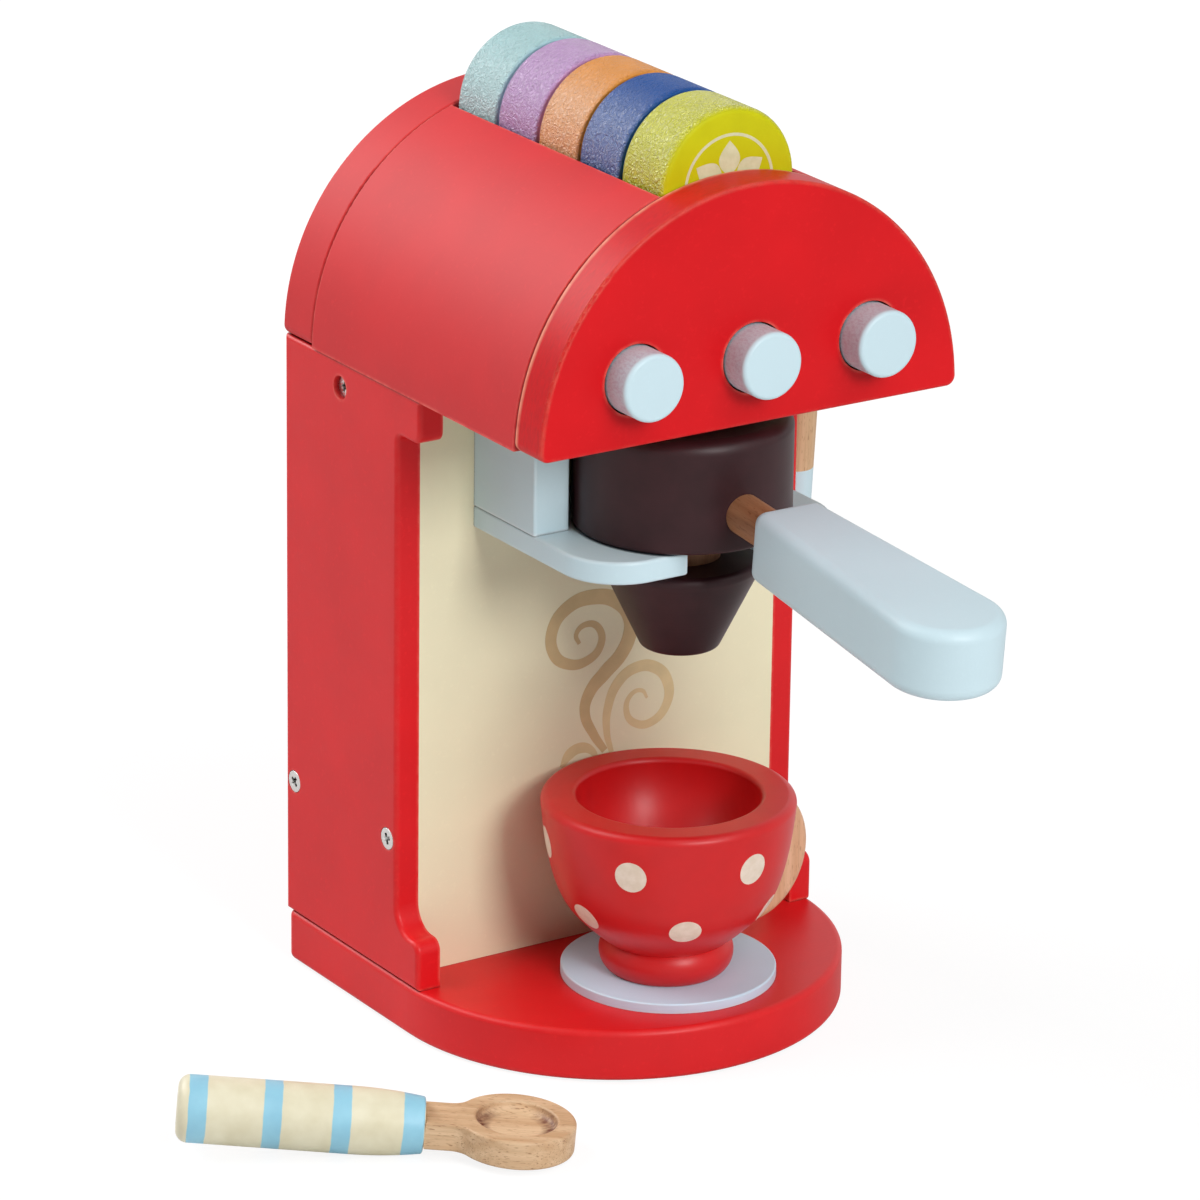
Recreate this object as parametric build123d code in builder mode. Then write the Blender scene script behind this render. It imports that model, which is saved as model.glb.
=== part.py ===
from build123d import *
import os
from math import atan2, cos, degrees, radians, sin, sqrt

# Wooden toy espresso machine with capsules, brew handle, cup, wand and spoon.
# Millimetres. X to the right as seen from the front, Y from front to back, Z up.
# The origin is on the underside of the base, at the centre of its half-round front.

# ---------------------------------------------------------------- driving dimensions
# tower
base_width = 142.0
base_depth = 142.0
base_thickness = 16.0
base_corner_radius = 4.0
base_edge_radius = 2.0
side_thickness = 8.0
side_height = 184.0
side_depth = 64.0             # back edge to the cut-back front edge
lip_reach = 12.5              # how far the lips stand out past the cut-back edge
top_lip_height = 13.5
bottom_lip_height = 15.0
lip_corner_radius = 3.5
top_cove_radius = 2.5
bottom_cove_radius = 8.0
side_edge_radius = 1.5
board_thickness = 10.0        # splash board and rear board
rail_height = 16.0
rail_depth = 20.0

# head
head_overhang = 0.5           # head past the tower, on each side
head_corner_radius = 3.0
front_plate_thickness = 14.0
back_plate_thickness = 16.5
plate_edge_radius = 1.0
shell_thickness = 6.0
shell_edge_radius = 0.5
head_floor_thickness = 6.0
trough_board_thickness = 6.0

# capsules
capsule_names = ["lime", "blue", "orange", "lilac", "aqua"]    # from the front to the back
capsule_diameter = 45.5
capsule_thickness = 21.7
capsule_gap = 0.3
capsule_spare = 1.5           # free length left at the back of the row
capsule_sink = 4.2            # capsule axis below the crown of the head
capsule_edge_radius = 2.2
slot_side_gap = 0.6

# buttons
button_diameter = 20.0
button_spacing = 40.0
button_height = 20.0          # axis above the underside of the head
button_protrusion = 10.0
button_play = 0.5             # radial gap in the hole
button_travel = 6.0
button_edge_radius = 1.3
button_flange_lip = 2.5
button_flange_thickness = 4.0
backing_bar_thickness = 8.0
backing_bar_margin = 1.5
spring_rest_length = 12.0
spring_coil_diameter = 10.0
spring_wire_diameter = 0.8
spring_turns = 5

# collar and brew handle
collar_drop = 39.5            # underside of the head to the top of the collar
collar_thickness = 7.0
collar_reach = 67.0
collar_corner_radius = 18.0
collar_edge_radius = 1.0
block_width = 12.0
block_depth = 33.0
block_edge_radius = 0.8
drum_diameter = 64.4
drum_height = 34.0
drum_top_radius = 4.0
drum_bottom_radius = 1.5
drum_side_gap = 0.3
filter_reach = 43.0           # splash board to the axis of the drum
neck_diameter = 23.0
neck_slot_gap = 2.5           # neck to the side of the collar's slot
neck_socket_depth = 10.0
cone_gap = 3.0                # collar to the top of the cone
cone_height = 28.0
cone_top_diameter = 50.0
cone_bottom_diameter = 23.0
cone_edge_radius = 2.0
spout_diameter = 8.0
spout_depth = 5.0
dowel_diameter = 12.0
dowel_height = 11.2           # dowel axis above the drum's underside, at the drum's skin
handle_pitch = 5.0            # degrees below level
handle_gap = 18.8             # bare dowel between drum and handle
handle_length = 96.0
handle_near_width = 23.0
handle_far_width = 34.0
handle_thickness = 21.4
handle_edge_radius = 3.5
handle_corner_radius = 4.0
dowel_in_drum = 12.0
dowel_in_handle = 25.0

# cup and drip disc
disc_diameter = 64.6
disc_thickness = 3.0
disc_edge_radius = 0.5
disc_reach = 37.6             # splash board to the centre of the disc
disc_shift = 1.7              # the disc is glued a little to the right of the middle
cup_gap = 0.5                 # cup to the splash board
cup_height = 55.3
cup_foot_diameter = 40.2      # bulge of the foot
cup_foot_height = 4.4         # the bulge above the underside
cup_contact_diameter = 34.8   # flat underside
cup_waist_diameter = 36.8
cup_waist_height = 9.9
cup_diameter = 76.6
cup_mouth_diameter = 55.0
cup_bowl_depth = 31.0
cup_foot_radius = 0.6
cup_rim_radius = 2.5
cup_mouth_radius = 1.5
cup_handle_turn = 9.0         # degrees from +X towards the back
cup_handle_diameter = 42.0
cup_handle_reach = 32.5       # cup axis to the centre of the ear
cup_handle_height = 27.5
cup_finger_diameter = 22.0
cup_handle_thickness = 10.5
cup_handle_edge_radius = 2.5

# wand
wand_diameter = 12.0
wand_length = 84.0
wand_top_margin = 8.0         # pivot to the top end
wand_pivot_drop = 12.0        # pivot below the top of the side board
wand_pivot_depth = 54.2       # pivot ahead of the back edge
wand_lean = 4.0               # degrees, lower end towards the back
wand_end_radius = 2.0
washer_thickness = 1.0
washer_diameter = 10.0

# spoon
spoon_x = -170.3
spoon_y = -36.7
spoon_turn = -30.4            # degrees from +X
spoon_handle_length = 70.7
spoon_handle_diameter = 19.6
spoon_handle_straight = 50.0
spoon_handle_end_diameter = 16.4
spoon_end_radius = 3.5
spoon_blade_thickness = 8.6
spoon_blade_diameter = 34.6
spoon_blade_reach = 97.0
spoon_neck_width = 15.4
spoon_neck_fillet = 6.0
spoon_tenon_diameter = 8.0
spoon_tenon_length = 15.0
spoon_dish_diameter = 23.4
spoon_dish_depth = 3.0
spoon_dish_radius = 2.4       # round at the foot of the dish
spoon_edge_radius = 0.8

# fasteners
screw_head_diameter = 7.0
screw_head_height = 2.6
screw_shank_diameter = 3.2
screw_length = 24.0
base_screw_length = 32.0
head_screw_length = 20.0
wand_screw_length = 20.0
wand_screw_sink = 0.8         # head below the wand's skin
recess_length = 4.0           # cross drive
recess_width = 0.9
recess_depth = 1.6
top_screw_sink = 1.6          # the upper side screw sits in a deeper hole
side_screw_height = 43.0      # lower side screws, above the base
base_screw_spread = 45.0
head_screw_spread = 30.0
peg_diameter = 6.0
peg_length = 18.0
peg_in_block = 10.0

# clearances
seat_gap = 0.3                # under pieces that lift or slide
running_gap = 0.08            # radial, shafts that turn in a hole
glue_gap = 0.05               # radial, pegs and dowels that are glued in
screw_gap = 0.1               # radial, screws in their holes

# ---------------------------------------------------------------- worked-out places
half_width = base_width / 2
back_y = base_depth - half_width
recess_y = back_y - side_depth
splash_front_y = recess_y
splash_back_y = recess_y + board_thickness
rear_front_y = back_y - board_thickness
inner_half = half_width - side_thickness
head_z = base_thickness + side_height

head_radius = half_width + head_overhang
shell_inner_radius = head_radius - shell_thickness
head_depth = (front_plate_thickness + back_plate_thickness + capsule_spare
              + len(capsule_names) * (capsule_thickness + capsule_gap))
head_front_y = back_y - head_depth
bay_front_y = head_front_y + front_plate_thickness
bay_back_y = back_y - back_plate_thickness
bay_depth = bay_back_y - bay_front_y

capsule_radius = capsule_diameter / 2
capsule_z = head_z + head_radius - capsule_sink
slot_half = capsule_radius + slot_side_gap
trough_top_z = capsule_z - capsule_radius - seat_gap
trough_bottom_z = trough_top_z - trough_board_thickness

button_radius = button_diameter / 2
button_z = head_z + button_height
button_xs = [-button_spacing, 0.0, button_spacing]
button_names = ["left", "middle", "right"]
flange_radius = button_radius + button_flange_lip
spring_front_y = bay_front_y + button_flange_thickness
spring_back_y = spring_front_y + spring_rest_length
backing_bar_top_z = min(button_z + flange_radius + backing_bar_margin, trough_bottom_z)

collar_top_z = head_z - collar_drop
collar_bottom_z = collar_top_z - collar_thickness
drum_radius = drum_diameter / 2
collar_half = drum_radius + drum_side_gap + block_width
collar_front_y = recess_y - collar_reach
filter_y = recess_y - filter_reach
drum_bottom_z = collar_top_z + seat_gap
neck_radius = neck_diameter / 2
slot_radius = neck_radius + neck_slot_gap
cone_top_z = collar_bottom_z - cone_gap

disc_y = recess_y - disc_reach
disc_top_z = base_thickness + disc_thickness
cup_y = recess_y - cup_gap - cup_diameter / 2

wand_x = half_width + washer_thickness + wand_diameter / 2 + seat_gap
wand_y = back_y - wand_pivot_depth
wand_z = head_z - wand_pivot_drop

screw_shank_radius = screw_shank_diameter / 2
screw_head_radius = screw_head_diameter / 2
side_screw_z = base_thickness + side_screw_height
rail_z = head_z - rail_height / 2
splash_mid_y = (splash_front_y + splash_back_y) / 2
rear_mid_y = (rear_front_y + back_y) / 2
rail_mid_y = (splash_back_y + rear_front_y) / 2

os.makedirs("parts", exist_ok=True)


def finish(piece, name):
    """Label a finished piece and write it under its own name."""
    piece.label = name
    export_step(piece, os.path.join("parts", name + ".step"))


def front_plane(y):
    """Plane that faces the front: local x to the right, local y up from the head's underside."""
    return Plane(origin=(0, y, head_z), x_dir=(1, 0, 0), z_dir=(0, -1, 0))


def side_plane(x):
    """Plane across the machine: local x to the back, local y up from the floor."""
    return Plane(origin=(x, 0, 0), x_dir=(0, 1, 0), z_dir=(1, 0, 0))


def block(x_range, y_range, z_range):
    """Box between two corners, in the builder that is open."""
    spans = (x_range, y_range, z_range)
    with Locations(tuple((low + high) / 2 for low, high in spans)):
        Box(*[high - low for low, high in spans])


# ---------------------------------------------------------------- screws and pegs
def screw(length):
    """Countersunk cross-drive screw; its flat top lies on XY and its shank points down."""
    with BuildPart() as one:
        with Locations((0, 0, -screw_head_height / 2)):
            Cone(screw_shank_radius, screw_head_radius, screw_head_height)
        with Locations((0, 0, -length / 2)):
            Cylinder(screw_shank_radius, length)
        with Locations((0, 0, -recess_depth / 2)):
            Box(recess_length, recess_width, recess_depth, mode=Mode.SUBTRACT)
            Box(recess_width, recess_length, recess_depth, mode=Mode.SUBTRACT)
    return one.part


def screw_hole(length, sink=0.0, gap=screw_gap):
    """Space that a screw takes in the wood, with a round hole above a head that lies deeper."""
    with BuildPart() as one:
        with Locations((0, 0, -screw_head_height / 2)):
            Cone(screw_shank_radius + gap, screw_head_radius + gap, screw_head_height)
        with Locations((0, 0, -(length + gap) / 2)):
            Cylinder(screw_shank_radius + gap, length + gap)
        with Locations((0, 0, (sink + gap) / 2)):
            Cylinder(screw_head_radius + gap, sink + gap)
    return one.part


def pin(radius, length, gap=0.0):
    """Round pin, larger all round by a gap; its top lies on XY and it points down."""
    with BuildPart() as one:
        with Locations((0, 0, -length / 2)):
            Cylinder(radius + gap, length + 2 * gap)
    return one.part


def side_screw_planes(side):
    """Planes of the three screws of one side board: splash board, rear board, top rail."""
    face_x = side * half_width
    spots = [(face_x, splash_mid_y, side_screw_z), (face_x, rear_mid_y, side_screw_z),
             (face_x - side * top_screw_sink, rail_mid_y, rail_z)]
    return [Plane(origin=spot, z_dir=(side, 0, 0)) for spot in spots]


base_screw_planes = [Plane(origin=(x, y, 0), z_dir=(0, 0, -1))
                     for x in (-base_screw_spread, base_screw_spread)
                     for y in (splash_mid_y, rear_mid_y)]
head_screw_planes = [Plane(origin=(x, rail_mid_y, head_z + head_floor_thickness))
                     for x in (-head_screw_spread, head_screw_spread)]
wand_screw_plane = Plane(origin=(wand_x + wand_diameter / 2 - wand_screw_sink, wand_y, wand_z),
                         z_dir=(1, 0, 0))
peg_planes = [Plane(origin=(side * (collar_half - block_width / 2), recess_y - peg_in_block,
                            (collar_top_z + head_z) / 2), z_dir=(0, -1, 0))
              for side in (-1, 1)]


side_hole = screw_hole(screw_length, sink=top_screw_sink)
base_hole = screw_hole(base_screw_length)
head_hole = screw_hole(head_screw_length)
wand_board_hole = screw_hole(wand_screw_length)
wand_hole = screw_hole(wand_screw_length, sink=wand_screw_sink, gap=running_gap)
peg_hole = pin(peg_diameter / 2, peg_length, gap=glue_gap)


def cut(hole, planes):
    """Take a hole out of the piece that is open, on each of the planes."""
    with Locations(*planes):
        add(hole, mode=Mode.SUBTRACT)


# ---------------------------------------------------------------- base
with BuildPart() as base:
    with BuildSketch() as base_outline:
        Circle(half_width)
        with Locations((0, back_y / 2)):
            Rectangle(base_width, back_y)
        fillet(base_outline.vertices().group_by(Axis.Y)[-1], radius=base_corner_radius)
    extrude(amount=base_thickness)
    fillet(base.faces().filter_by(Axis.Z).edges(), radius=base_edge_radius)
    cut(base_hole, base_screw_planes)
finish(base.part, "base")


# ---------------------------------------------------------------- side boards
def side_board(side):
    """Side board, cut back between its two lips; side is -1 for the left one."""
    lip_y = recess_y - lip_reach
    top_lip_z = head_z - top_lip_height
    bottom_lip_z = base_thickness + bottom_lip_height
    cove = min(bottom_cove_radius, lip_reach - lip_corner_radius - 0.5)
    with BuildPart() as board:
        with BuildSketch(side_plane(min(side * half_width, side * inner_half))) as outline:
            with BuildLine():
                Polyline((back_y, base_thickness), (back_y, head_z), (lip_y, head_z),
                         (lip_y, top_lip_z), (recess_y, top_lip_z), (recess_y, bottom_lip_z),
                         (lip_y, bottom_lip_z), (lip_y, base_thickness), close=True)
            make_face()
            for radius, spot in ((lip_corner_radius, (lip_y, top_lip_z)),
                                 (top_cove_radius, (recess_y, top_lip_z)),
                                 (cove, (recess_y, bottom_lip_z)),
                                 (lip_corner_radius, (lip_y, bottom_lip_z))):
                corner = outline.vertices().sort_by_distance((*spot, 0))[0]
                fillet(corner, radius=radius)
        extrude(amount=side_thickness)
        outer_face = board.faces().filter_by(Axis.X).sort_by(Axis.X)[0 if side < 0 else -1]
        fillet(outer_face.edges(), radius=side_edge_radius)
        cut(side_hole, side_screw_planes(side))
        if side > 0:
            cut(wand_board_hole, [wand_screw_plane])
    return board.part


finish(side_board(-1), "side_left")
finish(side_board(1), "side_right")


# ---------------------------------------------------------------- boards of the tower
with BuildPart() as splash_board:
    block((-inner_half, inner_half), (splash_front_y, splash_back_y), (base_thickness, head_z))
    cut(side_hole, side_screw_planes(-1) + side_screw_planes(1))
    cut(base_hole, base_screw_planes)
    cut(peg_hole, peg_planes)
finish(splash_board.part, "splash_board")

with BuildPart() as rear_board:
    block((-inner_half, inner_half), (rear_front_y, back_y), (base_thickness, head_z))
    cut(side_hole, side_screw_planes(-1) + side_screw_planes(1))
    cut(base_hole, base_screw_planes)
finish(rear_board.part, "rear_board")

with BuildPart() as top_rail:
    block((-inner_half, inner_half), (rail_mid_y - rail_depth / 2, rail_mid_y + rail_depth / 2),
          (head_z - rail_height, head_z))
    cut(side_hole, side_screw_planes(-1) + side_screw_planes(1))
    cut(head_hole, head_screw_planes)
finish(top_rail.part, "top_rail")


# ---------------------------------------------------------------- head
def head_plate(front_y, thickness):
    """Half-round plate of the head, with rounded edges."""
    with BuildPart() as plate:
        with BuildSketch(front_plane(front_y)) as outline:
            Circle(head_radius)
            Rectangle(2 * head_radius, head_radius, align=(Align.CENTER, Align.MIN),
                      mode=Mode.INTERSECT)
            fillet(outline.vertices().group_by(Axis.Y)[0], radius=head_corner_radius)
        extrude(amount=-thickness)
        fillet(plate.faces().filter_by(Axis.Y).edges(), radius=plate_edge_radius)
    return plate.part


front_blank = head_plate(head_front_y, front_plate_thickness)
with BuildPart() as head_front:
    add(front_blank)
    with BuildSketch(front_plane(head_front_y)):
        with Locations(*[(x, button_height) for x in button_xs]):
            Circle(button_radius + button_play)
    extrude(amount=-front_plate_thickness, mode=Mode.SUBTRACT)
finish(head_front.part, "head_front")

finish(head_plate(bay_back_y, back_plate_thickness), "head_back")


def head_shell(side):
    """Curved cover between the plates, from the foot of the head to the slot."""
    with BuildPart() as shell:
        with BuildSketch(front_plane(bay_back_y)):
            Circle(head_radius)
            Circle(shell_inner_radius, mode=Mode.SUBTRACT)
            with Locations((side * (slot_half + head_radius / 2), head_radius / 2)):
                Rectangle(head_radius, head_radius, mode=Mode.INTERSECT)
        extrude(amount=bay_depth)
        outer_arcs = [edge for edge in shell.edges().filter_by(GeomType.CIRCLE)
                      if abs(edge.radius - head_radius) < shell_edge_radius]
        slot_edge = shell.edges().filter_by(Axis.Y).sort_by(Axis.Z)[-1]
        fillet(outer_arcs + [slot_edge], radius=shell_edge_radius)
    return shell.part


finish(head_shell(-1), "shell_left")
finish(head_shell(1), "shell_right")

head_floor_half = sqrt(shell_inner_radius ** 2 - head_floor_thickness ** 2) - glue_gap
with BuildPart() as head_floor:
    block((-head_floor_half, head_floor_half), (bay_front_y, bay_back_y),
          (head_z, head_z + head_floor_thickness))
    cut(head_hole, head_screw_planes)
finish(head_floor.part, "head_floor")


# ---------------------------------------------------------------- capsule trough
trough_half = slot_half + trough_board_thickness
with BuildPart() as trough_floor:
    block((-trough_half, trough_half), (bay_front_y, bay_back_y),
          (trough_bottom_z, trough_top_z))
finish(trough_floor.part, "trough_floor")


def trough_wall(side):
    """Upright beside the capsules; its top follows the inside of the shell."""
    with BuildPart() as wall:
        with BuildSketch(front_plane(bay_back_y)):
            with Locations((side * (slot_half + trough_board_thickness / 2), trough_top_z - head_z)):
                Rectangle(trough_board_thickness, head_radius, align=(Align.CENTER, Align.MIN))
            Circle(shell_inner_radius - glue_gap, mode=Mode.INTERSECT)
        extrude(amount=bay_depth)
    return wall.part


finish(trough_wall(-1), "trough_wall_left")
finish(trough_wall(1), "trough_wall_right")


# ---------------------------------------------------------------- capsules
for place, colour in enumerate(capsule_names):
    capsule_front_y = bay_front_y + capsule_gap + place * (capsule_thickness + capsule_gap)
    with BuildPart() as capsule:
        with BuildSketch(front_plane(capsule_front_y)):
            with Locations((0, capsule_z - head_z)):
                Circle(capsule_radius)
        extrude(amount=-capsule_thickness)
        fillet(capsule.edges().filter_by(GeomType.CIRCLE), radius=capsule_edge_radius)
    finish(capsule.part, "capsule_" + colour)


# ---------------------------------------------------------------- buttons
for name, x in zip(button_names, button_xs):
    with BuildPart() as button:
        with BuildSketch(front_plane(bay_front_y)):
            with Locations((x, button_height)):
                Circle(button_radius)
        extrude(amount=front_plate_thickness + button_protrusion)
        with BuildSketch(front_plane(bay_front_y)):
            with Locations((x, button_height)):
                Circle(flange_radius)
        extrude(amount=-button_flange_thickness)
        fillet(button.faces().sort_by(Axis.Y)[0].edges(), radius=button_edge_radius)
    finish(button.part, "button_" + name)

    coil_length = spring_rest_length - spring_wire_diameter - 2 * glue_gap
    coil_front_y = spring_front_y + spring_wire_diameter / 2 + glue_gap
    with BuildPart() as spring:
        with BuildLine() as coil:
            Helix(coil_length / spring_turns, coil_length,
                  (spring_coil_diameter - spring_wire_diameter) / 2,
                  center=(x, coil_front_y, button_z), direction=(0, 1, 0))
        with BuildSketch(Plane(origin=coil.line @ 0, z_dir=coil.line % 0)):
            Circle(spring_wire_diameter / 2)
        sweep(is_frenet=True)
    finish(spring.part, "button_spring_" + name)

with BuildPart() as backing_bar:
    with BuildSketch(front_plane(spring_back_y)):
        with Locations((0, head_floor_thickness)):
            Rectangle(2 * (button_spacing + flange_radius + backing_bar_margin),
                      backing_bar_top_z - head_z - head_floor_thickness,
                      align=(Align.CENTER, Align.MIN))
        Circle(shell_inner_radius - glue_gap, mode=Mode.INTERSECT)
    extrude(amount=-backing_bar_thickness)
finish(backing_bar.part, "backing_bar")


# ---------------------------------------------------------------- collar
with BuildPart() as collar:
    with BuildSketch(Plane.XY.offset(collar_bottom_z)) as collar_outline:
        with Locations((0, (collar_front_y + recess_y) / 2)):
            Rectangle(2 * collar_half, collar_reach)
        fillet(collar_outline.vertices().group_by(Axis.Y)[0], radius=collar_corner_radius)
        with Locations((0, filter_y)):
            Circle(slot_radius, mode=Mode.SUBTRACT)
            Rectangle(2 * slot_radius, collar_reach, align=(Align.CENTER, Align.MAX),
                      mode=Mode.SUBTRACT)
    extrude(amount=collar_thickness)
    free_edges = [edge for edge in collar.faces().filter_by(Axis.Z).edges()
                  if edge.center().Y < recess_y - collar_edge_radius]
    fillet(free_edges, radius=collar_edge_radius)
finish(collar.part, "collar")


def collar_block(side):
    """Block between the collar and the head; side is -1 for the left one."""
    x_range = sorted((side * (collar_half - block_width), side * collar_half))
    with BuildPart() as piece:
        block(x_range, (recess_y - block_depth, recess_y), (collar_top_z, head_z))
        fillet(piece.edges().filter_by(Axis.Z).group_by(Axis.Y)[0], radius=block_edge_radius)
        cut(peg_hole, peg_planes)
    return piece.part


finish(collar_block(-1), "collar_block_left")
finish(collar_block(1), "collar_block_right")

block_peg = pin(peg_diameter / 2, peg_length)
with BuildPart() as block_pegs:
    with Locations(*peg_planes):
        add(block_peg)
finish(block_pegs.part, "block_pegs")


# ---------------------------------------------------------------- brew drum, neck and cone
pitch = radians(handle_pitch)
handle_out = Vector(0, -cos(pitch), -sin(pitch))
handle_up = Vector(0, -sin(pitch), cos(pitch))
dowel_root = Vector(0, filter_y - drum_radius, drum_bottom_z + dowel_height)


def dowel_plane(distance):
    """Plane across the handle's dowel, at a distance out from the drum's skin."""
    return Plane(origin=dowel_root + handle_out * distance, x_dir=(1, 0, 0), z_dir=handle_out)


with BuildPart() as brew_drum:
    with BuildSketch(Plane.XY.offset(drum_bottom_z)):
        with Locations((0, filter_y)):
            Circle(drum_radius)
    extrude(amount=drum_height)
    fillet(brew_drum.faces().sort_by(Axis.Z)[-1].edges(), radius=drum_top_radius)
    fillet(brew_drum.faces().sort_by(Axis.Z)[0].edges(), radius=drum_bottom_radius)
    with BuildSketch(Plane.XY.offset(drum_bottom_z)):
        with Locations((0, filter_y)):
            Circle(neck_radius + running_gap)
    extrude(amount=neck_socket_depth + seat_gap, mode=Mode.SUBTRACT)
    with BuildSketch(dowel_plane(-dowel_in_drum - glue_gap)):
        Circle(dowel_diameter / 2 + glue_gap)
    extrude(amount=dowel_in_drum + drum_radius, mode=Mode.SUBTRACT)
finish(brew_drum.part, "brew_drum")

with BuildPart() as brew_neck:
    with BuildSketch(Plane.XY.offset(cone_top_z - neck_socket_depth)):
        with Locations((0, filter_y)):
            Circle(neck_radius)
    extrude(amount=drum_bottom_z - cone_top_z + 2 * neck_socket_depth)
finish(brew_neck.part, "brew_neck")

with BuildPart() as spout_cone:
    with Locations((0, filter_y, cone_top_z - cone_height / 2)):
        Cone(cone_bottom_diameter / 2, cone_top_diameter / 2, cone_height)
    fillet(spout_cone.edges().filter_by(GeomType.CIRCLE), radius=cone_edge_radius)
    with BuildSketch(Plane.XY.offset(cone_top_z - neck_socket_depth - seat_gap)):
        with Locations((0, filter_y)):
            Circle(neck_radius + running_gap)
    extrude(amount=neck_socket_depth + cone_edge_radius, mode=Mode.SUBTRACT)
    with BuildSketch(Plane.XY.offset(cone_top_z - cone_height)):
        with Locations((0, filter_y)):
            Circle(spout_diameter / 2)
    extrude(amount=spout_depth, mode=Mode.SUBTRACT)
finish(spout_cone.part, "spout_cone")


# ---------------------------------------------------------------- brew handle
with BuildPart() as handle_dowel:
    with BuildSketch(dowel_plane(-dowel_in_drum)):
        Circle(dowel_diameter / 2)
    extrude(amount=dowel_in_drum + handle_gap + dowel_in_handle)
finish(handle_dowel.part, "handle_dowel")

handle_plane = Plane(origin=dowel_root + handle_out * handle_gap, x_dir=(1, 0, 0), z_dir=handle_up)
near_corner_x = handle_near_width / 2 - handle_corner_radius
with BuildPart() as brew_handle:
    with BuildSketch(handle_plane):
        with Locations((-near_corner_x, -handle_corner_radius), (near_corner_x, -handle_corner_radius)):
            Circle(handle_corner_radius)
        with Locations((0, handle_far_width / 2 - handle_length)):
            Circle(handle_far_width / 2)
        make_hull()
    extrude(amount=handle_thickness / 2, both=True)
    fillet(brew_handle.faces().filter_by(Axis(dowel_root, handle_up)).edges(),
           radius=handle_edge_radius)
    with BuildSketch(dowel_plane(handle_gap)):
        Circle(dowel_diameter / 2 + glue_gap)
    extrude(amount=dowel_in_handle + glue_gap, mode=Mode.SUBTRACT)
finish(brew_handle.part, "brew_handle")


# ---------------------------------------------------------------- drip disc and cup
with BuildPart() as drip_disc:
    with BuildSketch(Plane.XY.offset(base_thickness)):
        with Locations((disc_shift, disc_y)):
            Circle(disc_diameter / 2)
    extrude(amount=disc_thickness)
    fillet(drip_disc.faces().sort_by(Axis.Z)[-1].edges(), radius=disc_edge_radius)
finish(drip_disc.part, "drip_disc")

cup_centre = (0, cup_y, disc_top_z)
cup_axis = Axis(cup_centre, (0, 0, 1))
cup_plane = Plane(origin=cup_centre, x_dir=(1, 0, 0), z_dir=(0, -1, 0))
# the flare of the wall, as points on it: (radius past the waist, height) as shares of its span
cup_flare = [(0.25, 0.09), (0.59, 0.25), (0.865, 0.57)]


def cup_body(gap=0.0):
    """The cup's outside, solid, with a gap added to its radius."""
    contact = (cup_contact_diameter / 2 + gap, 0)
    bulge = (cup_foot_diameter / 2 + gap, cup_foot_height)
    waist = (cup_waist_diameter / 2 + gap, cup_waist_height)
    rim = (cup_diameter / 2 + gap, cup_height)
    flare = [(waist[0] + u * (rim[0] - waist[0]), waist[1] + v * (rim[1] - waist[1]))
             for u, v in cup_flare]
    with BuildPart() as body:
        with BuildSketch(cup_plane):
            with BuildLine():
                Polyline((0, cup_height), (0, 0), contact)
                ThreePointArc(contact, bulge, waist)
                Spline(waist, *flare, rim, tangents=((1, 0.65), (0.1, 1)))
                Line(rim, (0, cup_height))
            make_face()
        revolve(axis=cup_axis)
    return body.part


cup_outside = cup_body()
with BuildPart() as cup:
    add(cup_outside)
    fillet(cup.edges().filter_by(GeomType.CIRCLE).group_by(Axis.Z)[-1], radius=cup_rim_radius)
    fillet(cup.edges().filter_by(GeomType.CIRCLE).group_by(Axis.Z)[0], radius=cup_foot_radius)
    with BuildSketch(cup_plane):
        with Locations((0, cup_height)):
            Ellipse(cup_mouth_diameter / 2, cup_bowl_depth)
        with Locations((0, cup_height)):
            Rectangle(cup_mouth_diameter / 2, cup_bowl_depth, align=(Align.MIN, Align.MAX),
                      mode=Mode.INTERSECT)
    revolve(axis=cup_axis, mode=Mode.SUBTRACT)
    mouth = [edge for edge in cup.edges().filter_by(GeomType.CIRCLE)
             if abs(edge.radius - cup_mouth_diameter / 2) < glue_gap]
    fillet(mouth, radius=cup_mouth_radius)
finish(cup.part, "cup")

turn = radians(cup_handle_turn)
ear_plane = Plane(origin=cup_centre, x_dir=(cos(turn), sin(turn), 0), z_dir=(sin(turn), -cos(turn), 0))
cup_room = cup_body(glue_gap)
with BuildPart() as cup_handle:
    with BuildSketch(ear_plane):
        with Locations((cup_handle_reach, cup_handle_height)):
            Circle(cup_handle_diameter / 2)
            Circle(cup_finger_diameter / 2, mode=Mode.SUBTRACT)
    extrude(amount=cup_handle_thickness / 2, both=True)
    fillet(cup_handle.edges().filter_by(GeomType.CIRCLE), radius=cup_handle_edge_radius)
    add(cup_room, mode=Mode.SUBTRACT)
finish(cup_handle.part, "cup_handle")


# ---------------------------------------------------------------- wand
lean = radians(wand_lean)
wand_down = Vector(0, sin(lean), -cos(lean))
wand_top = Vector(wand_x, wand_y, wand_z) - wand_down * wand_top_margin
with BuildPart() as wand:
    with BuildSketch(Plane(origin=wand_top, z_dir=wand_down)):
        Circle(wand_diameter / 2)
    extrude(amount=wand_length)
    fillet(wand.edges().filter_by(GeomType.CIRCLE), radius=wand_end_radius)
    cut(wand_hole, [wand_screw_plane])
finish(wand.part, "wand")

with BuildPart() as wand_washer:
    with BuildSketch(Plane(origin=(half_width, wand_y, wand_z), z_dir=(1, 0, 0))):
        Circle(washer_diameter / 2)
        Circle(screw_shank_radius + screw_gap, mode=Mode.SUBTRACT)
    extrude(amount=washer_thickness)
finish(wand_washer.part, "wand_washer")


# ---------------------------------------------------------------- spoon
spoon_handle_radius = spoon_handle_diameter / 2
spoon_blade_radius = spoon_blade_diameter / 2
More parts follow.
